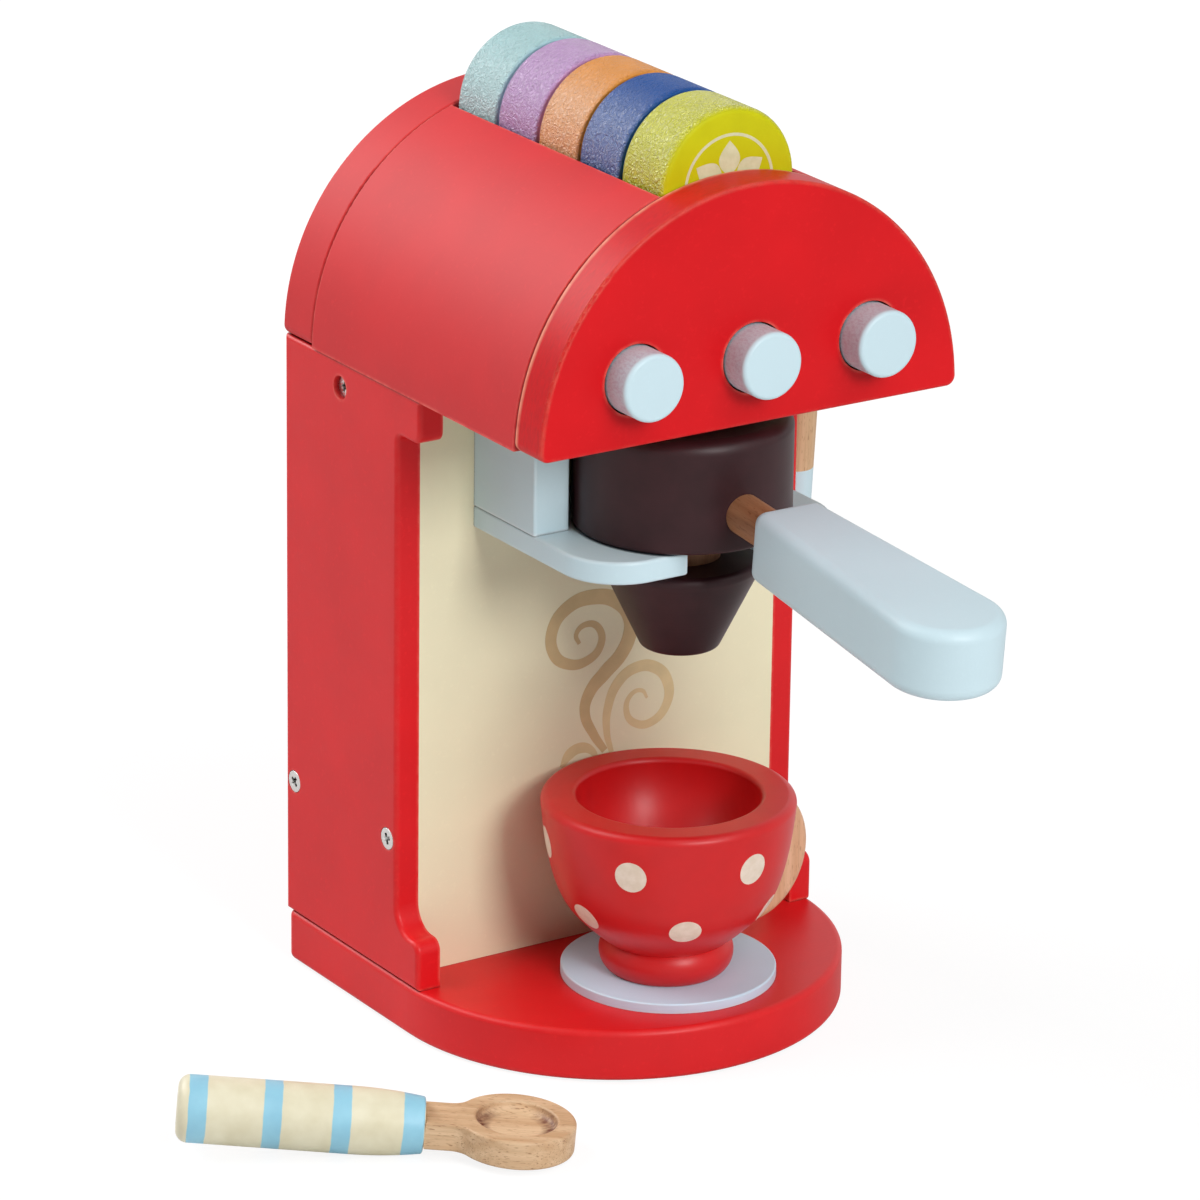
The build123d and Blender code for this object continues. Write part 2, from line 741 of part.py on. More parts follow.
# the spoon lies on the end of its handle's straight part and on the blade's far edge
tip_span = spoon_blade_reach + spoon_blade_radius - spoon_handle_straight
tip_drop = spoon_handle_radius - spoon_blade_thickness / 2
spoon_pitch = atan2(tip_drop, tip_span)
spoon_heading = radians(spoon_turn)
spoon_z = spoon_handle_radius * cos(spoon_pitch) + spoon_handle_straight * sin(spoon_pitch)
spoon_start = Vector(spoon_x, spoon_y, spoon_z)
spoon_along = Vector(cos(spoon_heading) * cos(spoon_pitch), sin(spoon_heading) * cos(spoon_pitch),
                     -sin(spoon_pitch))
spoon_side = Vector(-sin(spoon_heading), cos(spoon_heading), 0)
spoon_plane = Plane(origin=spoon_start, x_dir=spoon_along, z_dir=spoon_along.cross(spoon_side))
tenon_plane = Plane(origin=spoon_start + spoon_along * (spoon_handle_length - spoon_tenon_length),
                    z_dir=spoon_along)

with BuildPart() as spoon_handle:
    with BuildSketch(spoon_plane):
        with BuildLine():
            Polyline((spoon_handle_length, spoon_handle_end_diameter / 2), (spoon_handle_length, 0),
                     (0, 0), (0, spoon_handle_radius), (spoon_handle_straight, spoon_handle_radius))
            Spline((spoon_handle_straight, spoon_handle_radius),
                   (spoon_handle_length, spoon_handle_end_diameter / 2),
                   tangents=((1, 0), (1, -0.15)))
        make_face()
    revolve(axis=Axis(spoon_start, spoon_along))
    ends = spoon_handle.edges().filter_by(GeomType.CIRCLE)
    back_rim = ends.sort_by_distance(spoon_start)[:1]
    front_rim = ends.sort_by_distance(spoon_start + spoon_along * spoon_handle_length)[:1]
    fillet(back_rim, radius=spoon_end_radius)
    fillet(front_rim, radius=spoon_edge_radius)
    with BuildSketch(tenon_plane.offset(-glue_gap)):
        Circle(spoon_tenon_diameter / 2 + glue_gap)
    extrude(amount=spoon_tenon_length + 1, mode=Mode.SUBTRACT)
finish(spoon_handle.part, "spoon_handle")

dish_plane = spoon_plane.offset(spoon_blade_thickness / 2)
with BuildPart() as spoon_blade:
    with BuildSketch(spoon_plane) as blade_outline:
        with Locations((spoon_blade_reach, 0)):
            Circle(spoon_blade_radius)
        with Locations((spoon_handle_length, 0)):
            Rectangle(spoon_blade_reach - spoon_handle_length, spoon_neck_width,
                      align=(Align.MIN, Align.CENTER))
        shoulders = [vertex for vertex in blade_outline.vertices()
                     if vertex.X > spoon_handle_length + spoon_edge_radius
                     and abs(abs(vertex.Y) - spoon_neck_width / 2) < glue_gap]
        fillet(shoulders, radius=spoon_neck_fillet)
    extrude(amount=spoon_blade_thickness / 2, both=True)
    fillet(spoon_blade.faces().filter_by(Axis(spoon_start, spoon_plane.z_dir)).edges(),
           radius=spoon_edge_radius)
    with BuildSketch(tenon_plane):
        Circle(spoon_tenon_diameter / 2)
    extrude(amount=spoon_tenon_length + spoon_edge_radius)
    with BuildSketch(dish_plane):
        with Locations((spoon_blade_reach, 0)):
            Circle(spoon_dish_diameter / 2)
    extrude(amount=-spoon_dish_depth, mode=Mode.SUBTRACT)
    dish_rings = [edge for edge in spoon_blade.edges().filter_by(GeomType.CIRCLE)
                  if abs(edge.radius - spoon_dish_diameter / 2) < glue_gap]
    dish_rings.sort(key=lambda ring: (ring.arc_center - spoon_start).dot(spoon_plane.z_dir))
    fillet(dish_rings[:1], radius=spoon_dish_radius)
    fillet(dish_rings[-1:], radius=spoon_edge_radius)
finish(spoon_blade.part, "spoon_blade")


# ---------------------------------------------------------------- screws
screw_sets = [("side_screws_left", screw_length, side_screw_planes(-1)),
              ("side_screws_right", screw_length, side_screw_planes(1)),
              ("base_screws", base_screw_length, base_screw_planes),
              ("head_screws", head_screw_length, head_screw_planes),
              ("wand_screw", wand_screw_length, [wand_screw_plane])]
for name, length, planes in screw_sets:
    one_screw = screw(length)
    with BuildPart() as screws:
        with Locations(*planes):
            add(one_screw)
    finish(screws.part, name)
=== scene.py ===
# %% [markdown]
# # A wooden toy espresso machine
#
# The machine is a child's play-kitchen toy: painted boards, turned wooden drums and dowels, five
# round capsules in a slot, a cup on a drip disc and a wooden spoon. Its exact solids come packed
# as a frame, in metres. This lesson gives every solid the finish of the real thing, adds the
# printed scrolls, dots and rosettes, and puts proper screws and springs in the place of plain
# ones.

# %% Load the frame
from math import cos, pi, radians, sin, tau

import bpy
from mathutils import Matrix, Quaternion, Vector


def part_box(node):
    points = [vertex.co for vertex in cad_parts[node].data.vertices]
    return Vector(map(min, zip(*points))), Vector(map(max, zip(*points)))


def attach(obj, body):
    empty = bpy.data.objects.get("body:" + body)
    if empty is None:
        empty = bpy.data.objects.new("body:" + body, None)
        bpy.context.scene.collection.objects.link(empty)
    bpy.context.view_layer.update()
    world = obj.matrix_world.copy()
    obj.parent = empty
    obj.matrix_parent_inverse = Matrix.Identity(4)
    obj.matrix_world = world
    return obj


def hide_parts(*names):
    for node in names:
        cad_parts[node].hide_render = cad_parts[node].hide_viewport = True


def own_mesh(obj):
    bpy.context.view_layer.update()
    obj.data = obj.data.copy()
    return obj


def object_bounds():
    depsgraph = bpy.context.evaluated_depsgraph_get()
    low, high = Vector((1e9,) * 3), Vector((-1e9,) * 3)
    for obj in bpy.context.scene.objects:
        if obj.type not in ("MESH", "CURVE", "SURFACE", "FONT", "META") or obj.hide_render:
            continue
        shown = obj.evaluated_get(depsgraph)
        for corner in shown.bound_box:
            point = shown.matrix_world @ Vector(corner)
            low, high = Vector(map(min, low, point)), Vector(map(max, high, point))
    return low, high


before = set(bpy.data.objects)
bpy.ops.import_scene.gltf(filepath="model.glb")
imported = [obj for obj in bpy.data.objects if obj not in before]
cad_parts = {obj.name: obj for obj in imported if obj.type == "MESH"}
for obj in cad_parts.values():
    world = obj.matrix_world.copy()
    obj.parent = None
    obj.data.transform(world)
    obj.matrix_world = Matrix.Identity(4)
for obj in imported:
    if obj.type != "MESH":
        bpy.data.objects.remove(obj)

mm = 0.001
scene = bpy.context.scene
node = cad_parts
cad_box = [list(corner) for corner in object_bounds()]

# %% [markdown]
# ## Camera
#
# A toy looks true to its size when the camera stands well back with a long lens, because its
# boards then stay nearly parallel. Here the camera looks at the middle of the machine, from the
# front left and a little above. A small roll tilts the picture, as a hand-held camera does.

# %% Place the camera
look_azimuth = radians(-33.254)
look_elevation = radians(19.893)
look_roll = radians(0.811)
look_distance = 1932.694 * mm
look_target = Vector((-4.816, -0.55, 125.852)) * mm

camera = bpy.data.objects.new("camera", bpy.data.cameras.new("camera"))
scene.collection.objects.link(camera)
backwards = Vector((sin(look_azimuth) * cos(look_elevation),
                    -cos(look_azimuth) * cos(look_elevation), sin(look_elevation)))
camera.location = look_target + backwards * look_distance
camera.rotation_mode = "QUATERNION"
camera.rotation_quaternion = (backwards.to_track_quat("Z", "Y")
                              @ Quaternion((0, 0, 1), look_roll))
camera.data.sensor_width = 36
camera.data.lens = 195.44
camera.data.clip_end = 20
scene.camera = camera
print("camera at", [round(v, 3) for v in camera.location])

# %% [markdown]
# ## Helpers for nodes and places
#
# A finish is a small tree of shader nodes. These helpers add one node each and return its
# output, so that a material reads like a recipe. Patterns use Object coordinates, which are
# metres in the machine's own frame. A Mapping node of type Texture turns them into a space
# whose unit is one cell of the pattern: a cell of 30 by 1 by 1 mm gives long fibres along X.
# With a cell of 1 mm its coordinates are distances in mm, which tell one part of a piece from
# another.

# %% Nodes and places
def add(tree, kind, inputs=(), **settings):
    """Add a node, change its settings, and give its sockets values or links."""
    item = tree.nodes.new(kind)
    for key, value in settings.items():
        setattr(item, key, value)
    for key, value in dict(inputs).items():
        if isinstance(value, bpy.types.NodeSocket):
            tree.links.new(value, item.inputs[key])
        else:
            item.inputs[key].default_value = value
    return item


def cells(tree, size, origin=(0, 0, 0), turn=(0, 0, 0)):
    """Object coordinates in cells of a size in metres, from an origin, along turned axes."""
    place = add(tree, "ShaderNodeTexCoord").outputs["Object"]
    return add(tree, "ShaderNodeMapping", {"Vector": place, "Location": origin, "Rotation": turn,
                                           "Scale": size}, vector_type="TEXTURE").outputs[0]


def turn_to(direction):
    """Turn that brings X to a direction."""
    return Vector(direction).to_track_quat("X", "Z").to_euler()


def in_mm(tree, origin=(0, 0, 0), turn=(0, 0, 0)):
    """X, Y and Z in mm, from an origin, along turned axes."""
    return add(tree, "ShaderNodeSeparateXYZ", {0: cells(tree, (mm,) * 3, origin, turn)}).outputs


def reach(tree, place, *axes):
    """Distance from the origin, counted on two of the axes of a place."""
    flat = add(tree, "ShaderNodeCombineXYZ", {axis: place[axis] for axis in axes}).outputs[0]
    return add(tree, "ShaderNodeVectorMath", {0: flat}, operation="LENGTH").outputs["Value"]


print("helpers for places ready")

# %% [markdown]
# ## Helpers for patterns
#
# Wood and paint are never even, and noise gives them their unevenness. Raw noise stays near
# its middle value, so a Map Range node picks the part that matters and stretches it from 0 to 1.
# Two such patterns multiplied show only where both of them do.

# %% Patterns
def noise(tree, vector, detail=2.0, rough=0.5, distortion=0.0):
    """Soft noise from 0 to 1, one blob to a cell."""
    return add(tree, "ShaderNodeTexNoise", {
        "Vector": vector, "Scale": 1.0, "Detail": detail, "Roughness": rough,
        "Distortion": distortion}).outputs[0]


def speckle(tree, size, detail=2.0):
    """Noise in cubic cells of a size in mm."""
    return noise(tree, cells(tree, (size * mm,) * 3), detail)


def spread(tree, value, low, high, to_low=0.0, to_high=1.0):
    """Stretch the values from low to high over a new range, and clamp the rest."""
    return add(tree, "ShaderNodeMapRange", {"Value": value, "From Min": low, "From Max": high,
                                            "To Min": to_low, "To Max": to_high}).outputs[0]


def sums(tree, kind, first, second):
    """One step of arithmetic on two values."""
    return add(tree, "ShaderNodeMath", {0: first, 1: second}, operation=kind).outputs[0]


def product(tree, first, *others):
    """All the values multiplied."""
    for other in others:
        first = sums(tree, "MULTIPLY", first, other)
    return first


print("helpers for patterns ready")

# %% [markdown]
# ## Helpers for colour and relief
#
# A pattern turns into a finish in two ways. It blends two colours, or it lifts the surface a
# little, which a Bump node does without adding faces. Colours are read off a screen, so they
# are made linear first, as light itself is.

# %% Colour and relief
def blend(tree, share, first, second):
    """Mix two colours; share 0 gives the first."""
    mix = add(tree, "ShaderNodeMix", {0: share, 6: first, 7: second}, data_type="RGBA")
    return mix.outputs[2]


def bump(tree, height, depth, below=None):
    """Bump from a height of 0 to 1, for a relief of that depth in metres."""
    inputs = {"Height": height, "Distance": depth, "Strength": 1.0}
    if below is not None:
        inputs["Normal"] = below
    return add(tree, "ShaderNodeBump", inputs).outputs[0]


def srgb(red, green, blue):
    """A colour read as 0 to 255 on a screen, as the linear value that a shader wants."""
    linear = [v / 255 / 12.92 if v <= 10 else ((v / 255 + 0.055) / 1.055) ** 2.4
              for v in (red, green, blue)]
    return (*linear, 1.0)


def shade(colour, factor, lift=0.0):
    """A colour made darker or lighter."""
    return tuple(min(v * factor + lift, 1.0) for v in colour[:3]) + (1.0,)


print("a screen's middle grey is", round(srgb(128, 128, 128)[0], 3), "as light")

# %% [markdown]
# ## Helpers for finishes
#
# Corners are paler, as worn paint and, on the red boards, as a painted highlight of the rounded
# edge. Grooves and recesses are darker, on paint and metal alike, which is painted shade. Both
# places can be found without painting them by hand: an Ambient Occlusion node tells how soon the
# rays that leave a point meet a surface again, outside the piece for a groove and inside it for
# a corner.

# %% Finishes, edges and grooves
# The share of free rays at which each mask starts, and at which it is full.
edge_starts, edge_full = 0.93, 0.62
crevice_starts, crevice_full = 0.76, 0.34
rays = 6


def new_finish(name, roughness, gloss=0.5):
    """A material with its constants on the shader's own sockets; returns it, tree and shader."""
    material = bpy.data.materials.new(name)
    material.use_nodes = True
    shader = material.node_tree.nodes["Principled BSDF"]
    shader.inputs["Roughness"].default_value = roughness
    shader.inputs["Specular IOR Level"].default_value = gloss
    return material, material.node_tree, shader


def base_colour(material):
    """A finish's tree, its base colour socket and the tone on it, to paint something over it."""
    tree = material.node_tree
    base = tree.nodes["Principled BSDF"].inputs["Base Color"]
    return tree, base, base.links[0].from_socket


def edge_mask(tree, width):
    """1 on outer edges and 0 on flat faces."""
    free = add(tree, "ShaderNodeAmbientOcclusion", {"Distance": width}, samples=rays, inside=True)
    return spread(tree, free.outputs["AO"], edge_starts, edge_full)


def crevice_mask(tree, depth):
    """1 deep in a narrow groove and 0 on open faces: where painted shade goes."""
    free = add(tree, "ShaderNodeAmbientOcclusion", {"Distance": depth}, samples=rays)
    return spread(tree, free.outputs["AO"], crevice_starts, crevice_full)


def dress(names, finish):
    """Give nodes of the frame one finish in all their slots."""
    for name in names.split():
        slots = node[name].data.materials
        if not slots:
            slots.append(finish)
        for place in range(len(slots)):
            slots[place] = finish
        print(name, "gets", finish.name)


print("masks use", rays, "rays")

# %% [markdown]
# ## Painted wood
#
# The boards are sprayed with satin paint. It hides the colour of the wood but not all of its
# grain: faint ridges run along the board, over a fine orange peel. The paint is a little
# thinner and paler on the corners, and on the red boards that pale edge is also a painted
# highlight. Grooves get a painted shade. One recipe makes every painted finish; it is told the
# colour, the way the grain runs, the tone of the corners and the tone of the painted shade in
# grooves. Prints get a plainer recipe: two tones that run into each other.

# %% Paint recipe
# Cells of the grain, long in the direction in which it runs.
grain_along = {"x": (28 * mm, 0.9 * mm, 0.9 * mm), "y": (0.9 * mm, 28 * mm, 0.9 * mm),
               "z": (0.9 * mm, 0.9 * mm, 28 * mm)}


def painted_wood(name, colour, grain, roughness=0.4, gloss=0.4, corner=None, groove=None,
                 ridge=0.012, patch=0.05):
    """Satin paint on wood; ridge is the height of the grain in mm, patch how much it varies."""
    material, tree, shader = new_finish(name, roughness, gloss)
    blotches = speckle(tree, 26, detail=3.0)
    specks = speckle(tree, 1.6)
    tone = blend(tree, spread(tree, blotches, 0.3, 0.7), shade(colour, 1 - patch * 2), colour)
    paler = shade(colour, 1 + patch, 0.004)
    tone = blend(tree, spread(tree, specks, 0.6, 0.75, 0.0, 0.5), tone, paler)
    # Paler corners: worn paint, and on the red boards a painted highlight of the rounded edge.
    if corner:
        rub = spread(tree, speckle(tree, 3.5, detail=3.0), 0.35, 0.7, 0.15, 0.8)
        tone = blend(tree, product(tree, edge_mask(tree, 1.1 * mm), rub), tone, corner)
    # Darker grooves: painted shade between parts.
    if groove:
        tone = blend(tree, crevice_mask(tree, 1.2 * mm), tone, groove)
    tree.links.new(tone, shader.inputs["Base Color"])
    fibres = noise(tree, cells(tree, grain_along[grain]), detail=3.0, rough=0.6)
    peel = speckle(tree, 0.7, detail=1.0)
    relief = bump(tree, peel, 0.006 * mm, bump(tree, fibres, ridge * mm))
    tree.links.new(relief, shader.inputs["Normal"])
    return material


def printed_paint(name, first, second, roughness, gloss, patch, low=0.35, detail=3.0, skin=0.5,
                  relief=0.006):
    """Print in two tones, in patches of a size in mm, over a fine skin."""
    material, tree, shader = new_finish(name, roughness, gloss)
    share = spread(tree, speckle(tree, patch, detail), low, 0.7)
    tree.links.new(blend(tree, share, first, second), shader.inputs["Base Color"])
    tree.links.new(bump(tree, speckle(tree, skin), relief * mm), shader.inputs["Normal"])
    return material


print("recipes for paint and print ready")

# %% Painted finishes
# Red edges: worn paint with a painted highlight. Red grooves: painted shade.
worn_and_highlight_red, groove_shade_red = (0.80, 0.16, 0.12, 1.0), (0.18, 0.004, 0.005, 1.0)
pale_blue = srgb(198, 221, 229)
# The pale blue's darker groove tone is painted shade too.
rubbed_blue, groove_shade_blue = srgb(222, 233, 238), srgb(74, 84, 92)


def red_paint(name, colour, grain, **shine):
    """The machine's red, each board's tone a little different to match how it is lit: painted light
    and shade.
    """
    return painted_wood("red_paint_" + name, (*colour, 1.0), grain, corner=worn_and_highlight_red,
                        groove=groove_shade_red, **shine)


def blue_paint(name, grain, groove=None):
    """The pale blue of collar and handle."""
    return painted_wood("pale_blue_" + name, pale_blue, grain, roughness=0.42,
                        corner=rubbed_blue, groove=groove, ridge=0.02, patch=0.015)


# Each board's red is lighter or darker for how that board is lit: lit and shaded copies of one
# paint.
red_upright = red_paint("upright", (0.73, 0.0075, 0.0115), "z", gloss=0.28)
red_lengthwise = red_paint("lengthwise", (0.62, 0.0075, 0.0115), "y", gloss=0.5, roughness=0.6)
red_front = red_paint("front", (0.67, 0.0075, 0.0115), "x", gloss=0.13)
red_base = red_paint("base", (0.73, 0.0085, 0.012), "x", gloss=0.3)
cream_board = painted_wood("cream_paint", srgb(238, 232, 198), "z", roughness=0.45, patch=0.02)
blue_across = blue_paint("across", "x", groove_shade_blue)
blue_lengthwise = blue_paint("lengthwise", "y")
blue_upright = blue_paint("upright", "z", groove_shade_blue)
print("painted finishes ready")

# %% Paint the machine's boards
dress("side_left side_right rear_board", red_upright)
dress("shell_left shell_right head_back", red_lengthwise)
dress("head_front", red_front)
dress("base", red_base)
dress("splash_board", cream_board)
dress("collar", blue_across)
dress("collar_block_left collar_block_right", blue_upright)
dress("brew_handle", blue_lengthwise)

# %% [markdown]
# ## Rim of the head's front plate: wear and painted highlight
#
# The plate's rim is sawn wood, so its paint is rougher than on the face: short streaks run round
# it. Both of its edges are pale orange-pink, partly rubbed paint and partly a painted highlight
# where the rounded edges catch the light. The distance from the middle of the half circle tells
# rim from face, and the distance from the plate's back finds the hinder edge.

# %% Wear and painted highlight on the rim
dull_red, peach_wear_and_highlight = (0.42, 0.012, 0.014, 1.0), (0.86, 0.32, 0.21, 1.0)
back_edge_width = 2.4

plate_low, plate_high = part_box("head_front")
plate_radius = (plate_high.x - plate_low.x) / 2 / mm
tree, base, paint_tone = base_colour(red_front)
from_middle = reach(tree, in_mm(tree, (0, 0, plate_low.z)), 0, 2)
on_rim = spread(tree, from_middle, plate_radius - 1.6, plate_radius - 0.8)
streaks = noise(tree, cells(tree, (2.4 * mm, 0.4 * mm, 2.4 * mm)), detail=3.0, rough=0.6)
dulled = product(tree, on_rim, spread(tree, streaks, 0.42, 0.68, 0.0, 0.5))
tone = blend(tree, dulled, paint_tone, dull_red)
from_back = in_mm(tree, (0, plate_high.y, 0))[1]
at_back = spread(tree, from_back, -back_edge_width, -back_edge_width / 2)
# Both rim edges: rubbed paint plus a painted highlight where the rounded edges catch light.
rim_edges = sums(tree, "MAXIMUM", edge_mask(tree, 0.9 * mm), at_back)
wear_and_highlight_breakup = spread(tree, speckle(tree, 5, detail=3.0), 0.3, 0.6, 0.3, 0.9)
tree.links.new(blend(tree, product(tree, rim_edges, on_rim, wear_and_highlight_breakup), tone, peach_wear_and_highlight), base)
print("front plate worn round a radius of", round(plate_radius, 2), "mm")

# %% [markdown]
# ## Buttons
#
# A button is a painted dowel. Its face stays clean, but its side rubs on the edge of its hole
# each time it is pressed, so it is scuffed. The greyish purple of the side is partly scuffed
# paint and partly painted shade, as the side faces into its hole beside the red plate. The side
# is all that lies behind the rounded edge of the face, so the Y coordinate tells the shader
# where to scuff and shade.

# %% Button paint
button_edge = 1.3 * mm
mauve_scuff_and_shade = srgb(170, 166, 184)
button_side_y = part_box("button_middle")[0][1] + button_edge
button_paint = painted_wood("button_paint", pale_blue, "y", roughness=0.42, patch=0.015)
tree, base, paint_tone = base_colour(button_paint)
on_side = spread(tree, in_mm(tree, (0, button_side_y, 0))[1], 0.0, 0.6)
scratches = noise(tree, cells(tree, (0.7 * mm, 1.4 * mm, 0.7 * mm)), detail=4.0, rough=0.7)
# Side colour: scuffs plus painted shade of the side in its hole.
scuffs_and_shade = product(tree, spread(tree, scratches, 0.44, 0.62, 0.1, 0.55), on_side)
tree.links.new(blend(tree, scuffs_and_shade, paint_tone, mauve_scuff_and_shade), base)
dress("button_left button_middle button_right", button_paint)
print("buttons scuffed behind y =", round(button_side_y, 4))

# %% [markdown]
# ## Bare wood
#
# Dowels, cup ear, spoon blade and wand are beech, left bare or oiled. Beech is easy to know by
# its flecks: short dark dashes that all lie along the grain. Under them run soft bands of
# lighter and darker growth. All three are noise in cells stretched along the grain; only the
# cell sizes differ.

# %% Beech recipe
def beech(name, light, dark, grain, start=(0, 0, 0), fleck=0.55):
    """Bare beech whose fibres run along a direction, counted from a start point."""
    material, tree, shader = new_finish(name, 0.5, 0.4)
    turn = turn_to(grain)
    tones = noise(tree, cells(tree, (70 * mm, 3.2 * mm, 3.2 * mm), start, turn), detail=4.0,
                  distortion=0.4)
    fibres = noise(tree, cells(tree, (14 * mm, 0.35 * mm, 0.35 * mm), start, turn))
    dashes = noise(tree, cells(tree, (2.6 * mm, 0.42 * mm, 0.42 * mm), start, turn), detail=1.0)
    tone = blend(tree, spread(tree, tones, 0.32, 0.68), dark, light)
    thread = spread(tree, fibres, 0.52, 0.74, 0.0, 0.5)
    tone = blend(tree, thread, tone, shade(dark, 0.78))
    mark = tuple(v * w for v, w in zip(dark[:3], (0.55, 0.42, 0.34))) + (1.0,)
    tone = blend(tree, spread(tree, dashes, 0.62, 0.72, 0.0, fleck), tone, mark)
    tree.links.new(tone, shader.inputs["Base Color"])
    tree.links.new(bump(tree, fibres, 0.03 * mm), shader.inputs["Normal"])
    return material


ear_tones = srgb(226, 180, 146), srgb(208, 156, 118)
dowel_tones = srgb(172, 122, 86), srgb(146, 98, 66)
inner_tones = srgb(226, 200, 160), srgb(206, 176, 132)
handle_pitch = radians(5.0)
handle_line = (0, -cos(handle_pitch), -sin(handle_pitch))

dress("cup_handle", beech("beech_ear", *ear_tones, grain=(0, 0, 1)))
dress("brew_neck", beech("beech_neck", *dowel_tones, grain=(0, 0, 1)))
dress("handle_dowel", beech("beech_dowel", *dowel_tones, grain=handle_line))
dress("trough_floor trough_wall_left trough_wall_right block_pegs",
      beech("inner_boards", *inner_tones, grain=(0, 1, 0)))
dress("top_rail head_floor backing_bar", beech("inner_rails", *inner_tones, grain=(1, 0, 0)))

# %% [markdown]
# ## Turned brown drum and cone
#
# Both are turned on a lathe and painted nearly black brown. The lathe leaves fine rings round
# the axis. A noise that is given only the distance from the axis and the height draws such
# rings, on the flat faces and on the wall. The disc under the cup is plain grey-blue paint.

# %% Turned brown paint
rings_per_mm = 1.6


def turned_paint(name, colour, axis_x, axis_y, roughness, gloss, ring_depth, patch):
    """Paint over lathe rings round an upright axis; ring_depth is in mm."""
    material, tree, shader = new_finish(name, roughness, gloss)
    place = in_mm(tree, (axis_x, axis_y, 0))
    outline = add(tree, "ShaderNodeCombineXYZ", {0: reach(tree, place, 0, 1), 1: place[2]})
    rings = add(tree, "ShaderNodeVectorMath", {
        0: outline.outputs[0], 1: (rings_per_mm, rings_per_mm, 0)}, operation="MULTIPLY")
    marks = noise(tree, rings.outputs[0], detail=3.0)
    blotches = spread(tree, speckle(tree, 9, detail=4.0), 0.3, 0.7)
    tree.links.new(blend(tree, blotches, shade(colour, 1 - patch), colour),
                   shader.inputs["Base Color"])
    peel = speckle(tree, 0.6, detail=1.0)
    relief = bump(tree, peel, 0.008 * mm, bump(tree, marks, ring_depth * mm))
    tree.links.new(relief, shader.inputs["Normal"])
    return material


brew_axis_y = -36 * mm
brown = (0.038, 0.0110, 0.0135, 1.0)
dress("brew_drum spout_cone", turned_paint("brown_paint_turned", brown, 0, brew_axis_y,
                                           roughness=0.42, gloss=0.25, ring_depth=0.02, patch=0.28))
dress("drip_disc", painted_wood("grey_blue_paint", srgb(206, 232, 250), "x", roughness=0.45,
                                corner=srgb(214, 224, 232), patch=0.02))

# %% [markdown]
# ## Cup
#
# The cup is turned too, in the machine's red but glossier, and its bowl catches the light. The
# same lathe recipe serves, with the cup's own axis.

# %% Cup paint
cup_low, cup_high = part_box("cup")
cup_axis = (cup_low + cup_high) / 2
cup_red = (0.66, 0.008, 0.010, 1.0)
dress("cup", turned_paint("cup_red_paint", cup_red, cup_axis.x, cup_axis.y,
                          roughness=0.38, gloss=0.4, ring_depth=0.01, patch=0.08))
print("the cup's axis is at", [round(v, 4) for v in cup_axis[:2]])

# %% [markdown]
# ## Capsules
#
# Each capsule is a slice of dowel in glossy paint. The paint on its rim is wrinkled under a clear
# coat, and the ridges of the wrinkles are whitened by a painted sheen, a painted reflection of
# light met at a slant; its faces are smooth and even in colour. The distance from the capsule's
# axis tells the shader which of the two it is on. Coat and painted sheen fade with height, so
# that the top keeps a deeper colour: painted light, set by how the top is lit.

# %% Capsule paint
capsule_axis = (0, 0, 267.3 * mm)
rim_starts, rim_reached = 21.6, 22.5        # distances from the axis, in mm
shine_starts_to_fade, shine_faded = 14.0, 22.0      # heights above the axis, in mm
# For each: the paint's colour, how much of the coat and painted sheen is left on top, and how
# much painted sheen whitens the rim's ridges.
capsule_paints = {
    "lime": (srgb(199, 198, 16), 0.8, 0.0),
    "blue": (srgb(8, 74, 150), 0.12, 0.12),
    "orange": (srgb(230, 146, 46), 0.25, 0.26),
    "lilac": (srgb(184, 138, 194), 0.75, 0.06),
    "aqua": (srgb(160, 206, 209), 0.5, 0.28)}


def capsule_paint(name, colour, sheen_left_on_top, painted_sheen_share):
    """Clear coat and painted sheen over wrinkles on the rim, fading with height; plain faces."""
    material, tree, shader = new_finish(name, 0.5, 0.12)
    shader.inputs["Coat Roughness"].default_value = 0.21
    shader.inputs["Coat IOR"].default_value = 1.6
    place = in_mm(tree, capsule_axis)
    on_rim = spread(tree, reach(tree, place, 0, 2), rim_starts, rim_reached)
    # Coat and painted sheen fade with height: painted light on the top.
    shine = spread(tree, place[2], shine_starts_to_fade, shine_faded, 1.0, sheen_left_on_top)
    coat_and_painted_sheen = product(tree, on_rim, shine)
    wrinkles = noise(tree, cells(tree, (1.3 * mm, 0.9 * mm, 1.1 * mm)), distortion=1.0)
    blotches = spread(tree, speckle(tree, 7, detail=3.0), 0.3, 0.7, 0.0, 0.4)
    tone = blend(tree, blotches, colour, shade(colour, 0.82))
    # Painted sheen: whiter paint on the ridges stands for their reflection.
    ridges = spread(tree, wrinkles, 0.5, 0.68, painted_sheen_share, painted_sheen_share + 0.3)
    tone = blend(tree, product(tree, ridges, coat_and_painted_sheen), tone, shade(colour, 0.55, 0.42))
    tree.links.new(tone, shader.inputs["Base Color"])
    tree.links.new(coat_and_painted_sheen, shader.inputs["Coat Weight"])
    relief = bump(tree, product(tree, wrinkles, on_rim), 1.25 * mm)
    tree.links.new(relief, shader.inputs["Normal"])
    tree.links.new(relief, shader.inputs["Coat Normal"])
    return material


for colour_name, recipe in capsule_paints.items():
    dress("capsule_" + colour_name, capsule_paint(colour_name + "_pearl_paint", *recipe))

# %% [markdown]
# ## Bands across a piece
#
# Wand and spoon are painted in bands. A band depends on one number, the distance along the
# piece. A Mapping node turned to the piece's own line gives that distance as its X, however the
# piece lies, and steps of it choose between two finishes.

# %% Bands
band_edge = 0.08


